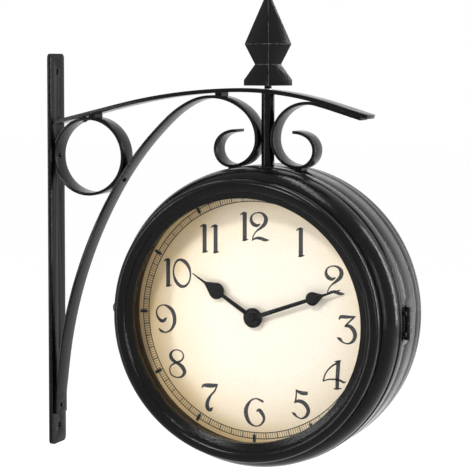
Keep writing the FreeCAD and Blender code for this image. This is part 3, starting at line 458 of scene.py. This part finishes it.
@dataclass
class ClockPlace:
    """Where the clock's axis and dials are, read from the frame."""

    centre: Vector = field(init=False)
    dial_face: float = field(init=False)

    def __post_init__(self) -> None:
        """Read the front dial's box."""
        low, high = (Vector(corner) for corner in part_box("front_dial"))
        self.centre = Vector(((low.x + high.x) / 2, 0.0, (low.z + high.z) / 2))
        self.dial_face = -low.y

    def facing(self, side: Side) -> Matrix:
        """Turn a drawing (x right, y up, z towards the viewer) to its side of the clock.

        Args:
            side: the side that shows the drawing.

        Returns:
            The drawing's place in the scene.
        """
        across = 1.0 if side is Side.FRONT else -1.0
        turn = Matrix(((across, 0, 0, 0), (0, 0, -across, 0), (0, 1, 0, 0), (0, 0, 0, 1)))
        return Matrix.Translation(self.centre) @ turn


def keep(mesh: bpy.types.Mesh, name: str, body: str, material: Optional[bpy.types.Material] = None) -> bpy.types.Object:
    """Put a finished mesh in the scene, riding on a body.

    Args:
        mesh: the mesh, with its place in its vertices.
        name: the piece's name.
        body: the body that it moves with.
        material: its only material, unless the mesh has its own.

    Returns:
        The new object.
    """
    piece = bpy.data.objects.new(name, mesh)
    bpy.context.scene.collection.objects.link(piece)
    if material is not None:
        mesh.materials.clear()
        mesh.materials.append(material)
    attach(piece, body)
    LOG.info("%s: %d faces on %s", name, len(mesh.polygons), body)
    return piece


def baked(piece: bpy.types.Object) -> bpy.types.Mesh:
    """Plain mesh of an object with its modifiers applied.

    Args:
        piece: the object, which is removed.

    Returns:
        The mesh.
    """
    bpy.context.view_layer.update()
    evaluated = piece.evaluated_get(bpy.context.evaluated_depsgraph_get())
    mesh = bpy.data.meshes.new_from_object(evaluated)
    bpy.data.objects.remove(piece)
    return mesh


def softened(node: str, name: str, body: str, finish: Finish,
             edge: float, segments: int = 2) -> bpy.types.Object:
    """Copy of a solid with its sharp edges rounded as paint rounds them.

    Args:
        node: the solid's node.
        name: the piece's name.
        body: the body that it rides on.
        finish: its finish, on its faces and on its rounded edges.
        edge: width of the rounding.
        segments: faces across the rounding.

    Returns:
        The piece that stands for the node.
    """
    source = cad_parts[node]
    work = bmesh.new()
    work.from_mesh(source.data)
    bmesh.ops.remove_doubles(work, verts=work.verts, dist=WELD_GAP)
    bmesh.ops.dissolve_limit(work, angle_limit=FLAT_ANGLE, verts=work.verts, edges=work.edges)
    for face in work.faces:
        face.material_index = 0
    mesh = bpy.data.meshes.new(name)
    work.to_mesh(mesh)
    work.free()
    for material in finish:
        mesh.materials.append(material)
    rough = bpy.data.objects.new(name, mesh)
    bpy.context.scene.collection.objects.link(rough)
    bevel = rough.modifiers.new("edge", "BEVEL")
    bevel.width = edge
    bevel.segments = segments
    bevel.limit_method = "ANGLE"
    bevel.angle_limit = ROUNDED_ANGLE
    # Rounded edges take the second material, whose lighter rubbed patches are partly painted highlight.
    bevel.material = 1
    result = baked(rough)
    result.name = name
    result.shade_smooth()
    result.set_sharp_from_angle(angle=SHARP_ANGLE)
    piece = keep(result, name, body, None)
    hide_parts(node)
    return piece


def dress(material: bpy.types.Material, *nodes: str) -> None:
    """Give solids that stay as they are their finish.

    Args:
        material: the finish.
        nodes: the solids' nodes.
    """
    for name in nodes:
        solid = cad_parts[name]
        if not solid.material_slots:
            solid.data.materials.append(material)
        for place in solid.material_slots:
            place.material = material


# ---------------------------------------------------------------- dial
class Digit(Enum):
    """Pen strokes of each figure: x, y and half width in hundredths of its height."""

    ONE = [[(17, 1, 6.8), (17, 50, 6.6), (17, 98, 6.8)],
           [(0.8, 89, 1.4), (8, 94, 2.8), (17, 96, 3.6)],
           [(9, 0.8, 1.4), (17, 2, 2.4), (29, 6, 1.4)]]
    TWO = [[(38, 59, 2.2), (27, 54, 4.8), (14, 59, 6.0), (6, 72, 4.8), (10, 89, 2.6), (27, 98, 1.9),
            (47, 96, 3.6), (60, 81, 6.2), (57, 63, 6.2), (43, 48, 4.4), (25, 34, 2.2), (14, 18, 1.9),
            (11, 3, 2.0)],
           [(12, 5, 2.2), (25, 11, 3.6), (40, 11, 5.2), (56, 6.5, 5.0), (69, 6, 2.2)]]
    THREE = [[(8, 84, 2.2), (14, 92, 4.8), (30, 92.5, 5.2), (47, 93, 4.0), (63, 95, 2.4)],
             [(61, 94, 2.6), (49, 82, 2.8), (39, 72, 2.8), (30, 62, 3.0)],
             [(30, 61, 3.0), (44, 62, 5.4), (58, 50, 6.6), (64, 32, 6.2), (57, 13, 4.8), (41, 3, 2.6),
              (22, 6, 2.4), (11, 16, 4.8), (2, 20, 2.2)]]
    FOUR = [[(52, 90, 3.4), (34, 79, 2.6), (17, 61, 2.3), (8, 44, 2.3), (4, 27, 2.6)],
            [(4, 27, 1.9), (22, 33, 2.2), (43, 35, 2.6), (62, 33, 3.4), (75, 27, 3.2), (83, 29, 1.5)],
            [(58, 99, 5.6), (56, 75, 6.2), (54, 42, 6.0), (53, 3, 5.4)],
            [(42, 3, 1.6), (53, 3, 2.8), (67, 6, 1.6)],
            [(45, 95, 1.6), (58, 97, 3.2), (65, 100, 1.6)]]
    FIVE = [[(22, 98, 2.4), (33, 92, 5.0), (47, 89, 6.0), (64, 90, 5.2)],
            [(23, 96, 2.4), (22, 77, 2.5), (19, 57, 2.7)],
            [(16, 55, 2.2), (29, 61, 5.0), (46, 58, 6.2), (60, 46, 6.4), (66, 29, 5.8), (58, 11, 4.6),
             (42, 2.2, 2.4), (26, 6, 2.4), (16, 15, 4.4), (9, 19, 2.4)]]
    SIX = [[(70, 89, 3.6), (58, 94, 3.2), (44, 97, 2.1), (28, 90, 2.8), (14, 72, 5.2), (8, 52, 6.6),
            (12, 29, 6.4), (23, 11, 4.6), (41, 2, 2.2), (60, 6, 2.4), (73, 21, 3.6), (74, 36, 4.8),
            (66, 50, 6.0), (57, 58, 5.4), (48, 54, 2.0)]]
    SEVEN = [[(2, 82, 1.8), (8, 90, 4.4), (26, 91, 6.6), (45, 92, 6.0), (59, 96, 2.8)],
             [(58, 93, 2.4), (50, 74, 2.8), (36, 58, 3.4), (25, 40, 5.2), (21, 22, 6.4), (25, 10, 6.8),
              (34, 7, 6.0), (41, 14, 2.2)]]
    EIGHT = [[(28, 54, 4.6), (11, 65, 5.8), (6, 81, 4.8), (15, 94, 2.6), (31, 98.5, 1.9), (48, 93, 2.1),
              (55, 79, 2.4), (48, 63, 2.8), (28, 54, 3.0), (9, 43, 2.4), (2.4, 28, 2.1), (9, 10, 2.2),
              (29, 1.8, 2.0), (50, 7, 3.6), (59, 23, 6.0), (52, 38, 6.6), (40, 48, 5.8), (28, 54, 4.6)]]
    NINE = [[(14, 13, 2.2), (22, 6, 4.0), (39, 2, 2.3), (58, 11, 3.4), (71, 32, 5.4), (73, 56, 6.4),
             (65, 79, 6.2), (50, 92, 4.8), (31, 98, 2.1), (13, 91, 2.2), (4, 74, 2.4), (8, 56, 3.6),
             (20, 43, 5.2), (31, 42, 5.0), (38, 49, 4.0), (42, 53, 1.6)]]
    ZERO = [[(26, 96, 4.0), (47, 89, 6.0), (62, 70, 4.8), (67, 46, 2.8), (63, 23, 2.8), (49, 6, 3.8),
             (30, 4, 5.4), (13, 19, 5.2), (4, 40, 3.2), (3, 62, 2.6), (11, 85, 3.0), (26, 96, 4.0)]]

    @property
    def width(self) -> float:
        """Width of the figure in shares of its height."""
        return max(x + half for stroke in self.value for x, _, half in stroke) / 100


DIGITS = (Digit.ZERO, Digit.ONE, Digit.TWO, Digit.THREE, Digit.FOUR, Digit.FIVE, Digit.SIX, Digit.SEVEN,
          Digit.EIGHT, Digit.NINE)


def smooth_stroke(points: Stroke, steps: int) -> Stroke:
    """Catmull-Rom curve through a stroke's points.

    Args:
        points: x, y and half width.
        steps: parts between two points.

    Returns:
        The finer stroke.
    """
    closed = points[0][:2] == points[-1][:2]
    before = points[-2] if closed else points[0]
    after = points[1] if closed else points[-1]
    chain = [Vector(p) for p in [before, *points, after]]
    result = []
    for i in range(1, len(chain) - 2):
        a, b, c, d = chain[i - 1:i + 3]
        for step in range(steps):
            t = step / steps
            result.append(tuple(0.5 * (2 * b + (c - a) * t + (2 * a - 5 * b + 4 * c - d) * t * t
                                       + (3 * b - a - 3 * c + d) * t ** 3)))
    result.append(points[-1])
    return result


@dataclass
class DialPrint:
    """Numerals and minute track printed on one dial."""

    place: ClockPlace
    side: Side
    ink: bpy.types.Material
    numeral_height: float = 28.5 * MM
    numerals_across_r: float = 95.0 * MM
    numerals_up_r: float = 91.0 * MM
    numerals_drop: float = 2.3 * MM
    side_drop: float = 4.3 * MM
    digit_gap: float = 1.2 * MM
    twin_gap: float = 3.1 * MM
    flat_end: float = 4.5
    pen_weight: float = 1.14
    film: float = 0.06 * MM
    track_outer_r: float = 119.5 * MM
    track_inner_r: float = 113.5 * MM
    line_width: float = 0.9 * MM
    minute_width: float = 1.0 * MM
    part_width: float = 0.45 * MM
    hour_width: float = 3.2 * MM
    hour_inner_r: float = 115.5 * MM
    hour_outer_r: float = 123.0 * MM
    stroke_steps: int = 6
    end_corners: int = 16
    end_sink: float = 0.9
    circle_corners: int = 240
    parts: int = 300
    minutes: int = 60
    hours: int = 12

    def stroke_faces(self, work: bmesh.types.BMesh, stroke: Stroke, shift: Vector) -> None:
        """Lay one pen stroke as a ribbon, with round ends where it is narrow.

        Args:
            work: the mesh that gets the faces.
            stroke: x, y and half width in hundredths of the height.
            shift: lower left corner of the figure.
        """
        unit = self.numeral_height / 100
        fine = [(x, y, half * self.pen_weight) for x, y, half in smooth_stroke(stroke, self.stroke_steps)]
        closed = stroke[0][:2] == stroke[-1][:2]
        spots = [Vector((x, y)) * unit + shift for x, y, _ in fine]
        rows = []
        for i, (spot, (_, _, half)) in enumerate(zip(spots, fine)):
            back = spots[max(i - 1, 0)] if not closed or i > 0 else spots[-2]
            ahead = spots[min(i + 1, len(spots) - 1)] if not closed or i < len(spots) - 1 else spots[1]
            along = (ahead - back).normalized()
            side = Vector((-along.y, along.x)) * half * unit
            rows.append([work.verts.new((*corner, self.film)) for corner in (spot + side, spot - side)])
        for here, there in zip(rows, rows[1:]):
            work.faces.new((here[0], here[1], there[1], there[0]))
        if closed:
            return
        for spot, (_, _, half) in ((spots[0], fine[0]), (spots[-1], fine[-1])):
            if half >= self.flat_end:
                continue
            reach = half * unit
            turns = [math.tau * i / self.end_corners for i in range(self.end_corners)]
            ring = [work.verts.new((spot.x + reach * math.cos(turn), spot.y + reach * math.sin(turn),
                                    self.film * self.end_sink)) for turn in turns]
            work.faces.new(ring)

    def numerals(self) -> bpy.types.Object:
        """Twelve upright numbers round the dial.

        Returns:
            The piece.
        """
        work = bmesh.new()
        for hour in range(1, self.hours + 1):
            digits = [DIGITS[int(letter)] for letter in str(hour)]
            widths = [digit.width * self.numeral_height for digit in digits]
            gap = self.twin_gap if digits[0] is digits[-1] else self.digit_gap
            total = sum(widths) + gap * (len(digits) - 1)
            turn = math.radians(360 / self.hours * hour)
            drop = self.numerals_drop + self.side_drop * math.sin(turn) ** 2
            corner = Vector((math.sin(turn) * self.numerals_across_r - total / 2,
                             math.cos(turn) * self.numerals_up_r - drop - self.numeral_height / 2))
            for digit, width in zip(digits, widths):
                for stroke in digit.value:
                    self.stroke_faces(work, stroke, corner)
                corner.x += width + gap
        bmesh.ops.recalc_face_normals(work, faces=work.faces)
        for face in work.faces:
            if face.normal.z < 0:
                face.normal_flip()
        mesh = bpy.data.meshes.new(self.side.node("numerals"))
        work.to_mesh(mesh)
        work.free()
        return self.printed(mesh, "numerals")

    def printed(self, mesh: bpy.types.Mesh, name: str) -> bpy.types.Object:
        """Lay a flat drawing on the dial.

        Args:
            mesh: the drawing, with its face at its film's height.
            name: the piece's name without its side.

        Returns:
            The piece.
        """
        raise_to_face = Matrix.Translation((0.0, 0.0, self.place.dial_face))
        mesh.transform(self.place.facing(self.side) @ raise_to_face)
        return keep(mesh, self.side.node(name), self.side.body, self.ink)

    def track_tree(self) -> bpy.types.NodeTree:
        """Node tree of the minute track: two circles, fine marks, minute marks and hour marks.

        Returns:
            The tree.
        """
        tree = bpy.data.node_groups.new(self.side.node("minute_track"), "GeometryNodeTree")
        face = tree.interface
        face.new_socket("Geometry", in_out="OUTPUT", socket_type="NodeSocketGeometry")
        for name in ("Outer radius", "Inner radius", "Line width", "Part width", "Minute width", "Hour width",
                     "Hour inner radius", "Hour outer radius", "Film"):
            face.new_socket(name, in_out="INPUT", socket_type="NodeSocketFloat")
        for name in ("Parts", "Minutes", "Hours"):
            face.new_socket(name, in_out="INPUT", socket_type="NodeSocketInt")
        face.new_socket("Ink", in_out="INPUT", socket_type="NodeSocketMaterial")
        entry = tree.nodes.new("NodeGroupInput")
        join = tree.nodes.new("GeometryNodeJoinGeometry")

        def add(kind: str, **links: bpy.types.NodeSocket) -> bpy.types.Node:
            """Add a node and link sockets to its inputs.

            Args:
                kind: the node's type name.
                links: input names, with spaces written as underscores, and sockets.

            Returns:
                The new node.
            """
            node = tree.nodes.new(kind)
            for key, socket in links.items():
                tree.links.new(socket, node.inputs[key.replace("_", " ")])
            return node

        def math_node(operation: str, first: bpy.types.NodeSocket, second: object) -> bpy.types.NodeSocket:
            """Arithmetic on two values.

            Args:
                operation: the operation's name.
                first: the first value's socket.
                second: the second value's socket, or a number.

            Returns:
                The result's socket.
            """
            node = tree.nodes.new("ShaderNodeMath")
            node.operation = operation
            tree.links.new(first, node.inputs[0])
            if isinstance(second, float):
                node.inputs[1].default_value = second
            else:
                tree.links.new(second, node.inputs[1])
            return node.outputs[0]

        outer, inner = entry.outputs["Outer radius"], entry.outputs["Inner radius"]
        hour_outer, hour_inner = entry.outputs["Hour outer radius"], entry.outputs["Hour inner radius"]
        rail = add("GeometryNodeCurvePrimitiveQuadrilateral", Width=entry.outputs["Line width"],
                   Height=entry.outputs["Film"])
        for radius in (outer, inner):
            circle = add("GeometryNodeCurvePrimitiveCircle", Radius=radius)
            circle.inputs["Resolution"].default_value = self.circle_corners
            swept = add("GeometryNodeCurveToMesh", Curve=circle.outputs["Curve"])
            tree.links.new(rail.outputs["Curve"], swept.inputs["Profile Curve"])
            tree.links.new(swept.outputs["Mesh"], join.inputs["Geometry"])
        for count, width, near, far in (("Parts", "Part width", inner, outer),
                                        ("Minutes", "Minute width", inner, outer),
                                        ("Hours", "Hour width", hour_inner, hour_outer)):
            middle = math_node("MULTIPLY", math_node("ADD", near, far), 0.5)
            ring = add("GeometryNodeMeshCircle", Vertices=entry.outputs[count], Radius=middle)
            size = add("ShaderNodeCombineXYZ", X=math_node("SUBTRACT", far, near), Y=entry.outputs[width],
                       Z=entry.outputs["Film"])
            mark = add("GeometryNodeMeshCube", Size=size.outputs["Vector"])
            position = tree.nodes.new("GeometryNodeInputPosition")
            aim = add("FunctionNodeAlignRotationToVector", Vector=position.outputs["Position"])
            aim.axis = "X"
            spread = add("GeometryNodeInstanceOnPoints", Points=ring.outputs["Mesh"],
                         Instance=mark.outputs["Mesh"], Rotation=aim.outputs["Rotation"])
            tree.links.new(spread.outputs["Instances"], join.inputs["Geometry"])
        real = add("GeometryNodeRealizeInstances", Geometry=join.outputs["Geometry"])
        inked = add("GeometryNodeSetMaterial", Geometry=real.outputs["Geometry"],
                    Material=entry.outputs["Ink"])
        leave = tree.nodes.new("NodeGroupOutput")
        tree.links.new(inked.outputs["Geometry"], leave.inputs["Geometry"])
        return tree

    def minute_track(self) -> bpy.types.Object:
        """Double ring with fine marks, sixty minute marks and twelve bold hour marks.

        Returns:
            The piece.
        """
        tree = self.track_tree()
        draft = bpy.data.objects.new("minute_track_draft", bpy.data.meshes.new("minute_track_draft"))
        bpy.context.scene.collection.objects.link(draft)
        modifier = draft.modifiers.new("track", "NODES")
        modifier.node_group = tree
        values = {"Outer radius": self.track_outer_r, "Inner radius": self.track_inner_r,
                  "Line width": self.line_width, "Part width": self.part_width,
                  "Minute width": self.minute_width, "Hour width": self.hour_width,
                  "Hour inner radius": self.hour_inner_r, "Hour outer radius": self.hour_outer_r,
                  "Film": self.film, "Parts": self.parts, "Minutes": self.minutes, "Hours": self.hours,
                  "Ink": self.ink}
        for socket in tree.interface.items_tree:
            if socket.in_out == "INPUT":
                modifier[socket.identifier] = values[socket.name]
        return self.printed(baked(draft), "minute_track")


# ---------------------------------------------------------------- sub-assemblies
@dataclass
class Finishes:
    """Every material of the clock; painted pieces have one for faces and one for edges, whose lighter rubbed patches
    are partly wear and partly painted highlight.
    """

    place: ClockPlace
    bracket: Finish = field(init=False)
    case: Finish = field(init=False)
    ring: Finish = field(init=False)
    recess: Finish = field(init=False)
    hands: Finish = field(init=False)
    dial: bpy.types.Material = field(init=False)
    ink: bpy.types.Material = field(init=False)
    glass: bpy.types.Material = field(init=False)
    steel: bpy.types.Material = field(init=False)
    brass: bpy.types.Material = field(init=False)
    copper: bpy.types.Material = field(init=False)
    plastic: bpy.types.Material = field(init=False)
    battery: bpy.types.Material = field(init=False)

    def __post_init__(self) -> None:
        """Build each material once."""
        dial_low, dial_high = (Vector(corner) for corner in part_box("front_dial"))
        self.bracket = self.painted(Paint("bracket_paint", (0.0034, 0.0032, 0.0032), roughness=0.12))
        self.case = self.painted(Paint("case_paint", (0.003, 0.0028, 0.0028), roughness=0.11))
        self.ring = self.painted(Paint("ring_paint", (0.002, 0.0019, 0.0019), (0.02, 0.019, 0.017),
                                       roughness=0.09, shine=0.13))
        self.recess = self.painted(Paint("recess_paint", (0.026, 0.016, 0.011), (0.12, 0.085, 0.06),
                                         roughness=0.4))
        self.hands = self.painted(Paint("hand_paint", (0.003, 0.003, 0.0033), (0.02, 0.02, 0.02),
                                        roughness=0.34))
        self.dial = AgedDial("dial_paper", self.place.centre, (dial_high.x - dial_low.x) / 2).material()
        self.ink = PrintedInk("dial_ink").material()
        self.glass = ClearGlass("clear_glass").material()
        self.steel = Metal("zinced_steel", (0.56, 0.56, 0.57), (0.34, 0.33, 0.32)).material()
        self.brass = Metal("turned_brass", (0.80, 0.62, 0.28), (0.50, 0.36, 0.16), 0.24).material()
        self.copper = Metal("copper_wire", (0.80, 0.38, 0.20), (0.45, 0.20, 0.12), 0.3).material()
        self.plastic = Moulded("movement_plastic", (0.022, 0.022, 0.024)).material()
        self.battery = Moulded("battery_sleeve", (0.05, 0.06, 0.09), 0.3).material()

    def painted(self, paint: Paint) -> Finish:
        """A paint on faces, and the same paint on edges, where it is rubbed and its lighter patches are partly painted
        highlight.
        """
        return paint.material(), replace(paint, name=f"{paint.name}_edge", wear=1.0).material()


@dataclass
class Bracket:
    """Wall plate, bent bars, post and finial."""

    finishes: Finishes
    bar_edge: float = 0.55 * MM
    plate_edge: float = 0.8 * MM
    finial_edge: float = 1.6 * MM

    def build(self) -> None:
        """Soften every bar and dress the small pieces."""
        paint = self.finishes.bracket
        softened("wall_plate", "plate", CASE_BODY, paint, self.plate_edge, 3)
        for node, name in (("arch_bar", "arch"), ("brace_bar", "brace"), ("ring_scroll", "ring"),
                           ("end_scroll", "tip_scroll")):
            softened(node, name, CASE_BODY, paint, self.bar_edge, 3)
        softened("finial", "spear", CASE_BODY, paint, self.finial_edge, 4)
        dress(paint[0], "bracket_rivets", "spacer_blocks", "post_tube")
        dress(self.finishes.steel, "tie_rod", "tie_nut")


@dataclass
class CaseBody:
    """Drum, door, fixed rear shell, hinge and latch."""

    finishes: Finishes
    sheet_edge: float = 0.4 * MM
    leaf_edge: float = 0.15 * MM

    def build(self) -> None:
        """Soften the sheet metal and dress the fittings."""
        paint = self.finishes.case
        softened("case_drum", "drum", CASE_BODY, paint, self.sheet_edge, 2)
        softened("rear_shell", "rear_case", CASE_BODY, paint, self.sheet_edge, 2)
        softened("door_shell", "door_case", DOOR_BODY, paint, self.sheet_edge, 2)
        softened("latch_knob", "knob", LATCH_BODY, paint, self.leaf_edge, 2)
        dress(paint[0], "hinge_case_leaf", "hinge_door_leaf", "hinge_case_rivets", "hinge_door_rivets")
        dress(self.finishes.steel, "hinge_pin", "latch_hook", "rear_shell_screws")


@dataclass
class ClockFace:
    """Everything of one face: ring, glass, dial, print, hands and movement."""

    place: ClockPlace
    finishes: Finishes
    side: Side
    ring_edge: float = 0.5 * MM
    hand_edge: float = 0.15 * MM

    def build(self) -> None:
        """Build and dress the face."""
        node, body, look = self.side.node, self.side.body, self.finishes
        softened(node("bezel"), node("ring"), body, look.ring, self.ring_edge, 3)
        softened(node("dial_ring"), node("recess"), body, look.recess, self.ring_edge, 2)
        for hand in ("hour", "minute"):
            softened(node(f"{hand}_hand"), node(f"{hand}_pointer"), node(f"{hand}_work"), look.hands,
                     self.hand_edge, 2)
        dress(look.glass, node("glass"))
        dress(look.dial, node("dial"))
        dress(look.hands[0], node("hand_nut"))
        dress(look.brass, node("bushing_nut"), node("minute_arbor"), node("hour_wheel"), node("motion_wheel"))
        dress(look.plastic, node("movement_case"), node("movement_cover"), node("set_knob"))
        dress(look.battery, node("battery"))
        dress(look.copper, node("drive_coil"))
        dress(look.steel, node("bezel_screws"), node("dial_screws"), node("battery_contacts"))
        dial = DialPrint(self.place, self.side, look.ink)
        dial.numerals()
        dial.minute_track()


# ---------------------------------------------------------------- studio
@dataclass
class Studio:
    """Pale floor, white surroundings, soft lamps and the camera."""

    place: ClockPlace
    azimuth: float = 22.3
    distance: float = 1.615
    camera_rise: float = 0.240
    camera_aside: float = -0.0053
    pitch: float = 3.0
    lens: float = 130.2
    sensor: float = 36.0
    frame_px: float = 470.0
    horizon_px: float = 71.0
    centre_px: float = 235.0
    floor_drop: float = 0.32
    floor_reach: float = 14.0
    floor_glow: float = 1.25
    floor_glow_share: float = 0.6
    world_level: float = 0.36
    key_strength: float = 1.32
    key_softness: float = 9.0
    key_spot: Triple = (-1.1, -1.7, 1.6)
    panel_width: float = 0.16
    floor_colour: Colour = (0.92, 0.92, 0.91)
    floor_roughness: float = 0.9

    def heading(self) -> tuple[Vector, Vector]:
        """Forward and rightward directions of the view, level."""
        turn = math.radians(self.azimuth)
        return Vector((-math.sin(turn), math.cos(turn), 0.0)), Vector((math.cos(turn), math.sin(turn), 0.0))

    def camera(self) -> None:
        """Camera at the height and angle from which the clock is seen."""
        ahead, right = self.heading()
        face = self.place.centre.copy()
        face.y = CAD_BOX[0][1]
        data = bpy.data.cameras.new("view")
        data.lens = self.lens
        data.sensor_width = self.sensor
        focal_px = self.lens / data.sensor_width * self.frame_px
        drop_px = focal_px * math.tan(math.radians(self.pitch))
        data.shift_y = -((self.centre_px - self.horizon_px) - drop_px) / self.frame_px
        camera = bpy.data.objects.new("view", data)
        bpy.context.scene.collection.objects.link(camera)
        lift = Vector((0, 0, self.camera_rise))
        camera.location = face - ahead * self.distance + right * self.camera_aside + lift
        camera.rotation_euler = (math.radians(90 - self.pitch), 0.0, math.radians(self.azimuth))
        bpy.context.scene.camera = camera

    def light(self, data: bpy.types.Light, spot: Vector) -> None:
        """Put a light in the scene, aimed at the clock.

        Args:
            data: the light's data.
            spot: its place, from the clock's centre, as right, ahead and up of the view.
        """
        ahead, right = self.heading()
        light = bpy.data.objects.new(data.name, data)
        bpy.context.scene.collection.objects.link(light)
        light.location = self.place.centre + right * spot.x + ahead * spot.y + Vector((0, 0, spot.z))
        light.rotation_euler = (self.place.centre - light.location).to_track_quat("-Z", "Y").to_euler()

    def panel(self, name: str, spot: Vector, size: tuple[float, float], power: float) -> None:
        """Rectangular lamp aimed at the clock.

        Args:
            name: the lamp's name.
            spot: its place, from the clock's centre, as right, ahead and up of the view.
            size: its width and height.
            power: watts.
        """
        data = bpy.data.lights.new(name, "AREA")
        data.shape = "RECTANGLE"
        data.size, data.size_y = size
        data.energy = power
        self.light(data, spot)

    def lamps(self) -> None:
        """Sun from the upper left, and narrow panels that draw highlights along the black paint."""
        key = bpy.data.lights.new("key", "SUN")
        key.energy = self.key_strength
        key.angle = math.radians(self.key_softness)
        self.light(key, Vector(self.key_spot))
        self.panel("fill", Vector((1.8, -1.4, 0.4)), (self.panel_width, 1.4), 15.0)
        self.panel("top", Vector((0.3, 0.1, 1.6)), (1.3, self.panel_width), 14.0)
        self.panel("side", Vector((1.6, 0.7, 0.5)), (self.panel_width, 1.5), 20.0)
        self.panel("left", Vector((-1.7, -0.7, 0.2)), (self.panel_width, 1.4), 13.0)

    def seen_share(self, tree: bpy.types.NodeTree) -> bpy.types.NodeSocket:
        """One for rays that see the surroundings, from the camera or by mirror or glass, else zero.

        Args:
            tree: the tree that gets the nodes.

        Returns:
            The share's socket.
        """
        path = tree.nodes.new("ShaderNodeLightPath")
        share = path.outputs["Is Camera Ray"]
        for ray in ("Is Glossy Ray", "Is Transmission Ray"):
            either = tree.nodes.new("ShaderNodeMath")
            either.operation = "MAXIMUM"
            tree.links.new(share, either.inputs[0])
            tree.links.new(path.outputs[ray], either.inputs[1])
            share = either.outputs["Value"]
        return share

    def world(self) -> None:
        """Grey light all round, seen as white."""
        world = bpy.data.worlds.new("studio")
        bpy.context.scene.world = world
        world.use_nodes = True
        tree = world.node_tree
        tree.nodes.clear()
        strength = tree.nodes.new("ShaderNodeMapRange")
        strength.inputs["To Min"].default_value = self.world_level
        strength.inputs["To Max"].default_value = 1.0
        tree.links.new(self.seen_share(tree), strength.inputs["Value"])
        light = tree.nodes.new("ShaderNodeBackground")
        light.inputs["Color"].default_value = (1.0, 1.0, 1.0, 1.0)
        tree.links.new(strength.outputs["Result"], light.inputs["Strength"])
        leave = tree.nodes.new("ShaderNodeOutputWorld")
        tree.links.new(light.outputs["Background"], leave.inputs["Surface"])

    def floor(self) -> None:
        """Wide pale floor below the clock that stays white where it is lit but keeps its shadow."""
        level = CAD_BOX[0][2] - self.floor_drop
        reach = self.floor_reach
        mesh = bpy.data.meshes.new("floor")
        mesh.from_pydata([(-reach, -reach, level), (reach, -reach, level), (reach, reach, level),
                          (-reach, reach, level)], [], [(0, 1, 2, 3)])
        material = bpy.data.materials.new("floor_white")
        material.use_nodes = True
        tree = material.node_tree
        shader = tree.nodes["Principled BSDF"]
        shader.inputs["Base Color"].default_value = (*self.floor_colour, 1.0)
        shader.inputs["Roughness"].default_value = self.floor_roughness
        share = tree.nodes.new("ShaderNodeMath")
        share.operation = "MULTIPLY"
        share.inputs[1].default_value = self.floor_glow_share
        tree.links.new(self.seen_share(tree), share.inputs[0])
        glow = tree.nodes.new("ShaderNodeEmission")
        glow.inputs["Strength"].default_value = self.floor_glow
        mix = tree.nodes.new("ShaderNodeMixShader")
        tree.links.new(share.outputs["Value"], mix.inputs["Fac"])
        tree.links.new(shader.outputs["BSDF"], mix.inputs[1])
        tree.links.new(glow.outputs["Emission"], mix.inputs[2])
        tree.links.new(mix.outputs["Shader"], tree.nodes["Material Output"].inputs["Surface"])
        mesh.materials.append(material)
        ground = bpy.data.objects.new("floor", mesh)
        bpy.context.scene.collection.objects.link(ground)

    def build(self) -> None:
        """Set up the whole studio."""
        self.camera()
        self.lamps()
        self.world()
        self.floor()
        bpy.context.scene.view_settings.view_transform = "Standard"


def main() -> None:
    """Build the clock piece by piece."""
    logging.basicConfig(level=logging.INFO, format="%(message)s")
    place = ClockPlace()
    Studio(place).build()
    finishes = Finishes(place)
    Bracket(finishes).build()
    CaseBody(finishes).build()
    for side in Side:
        ClockFace(place, finishes, side).build()


if __name__ == "__main__":
    main()
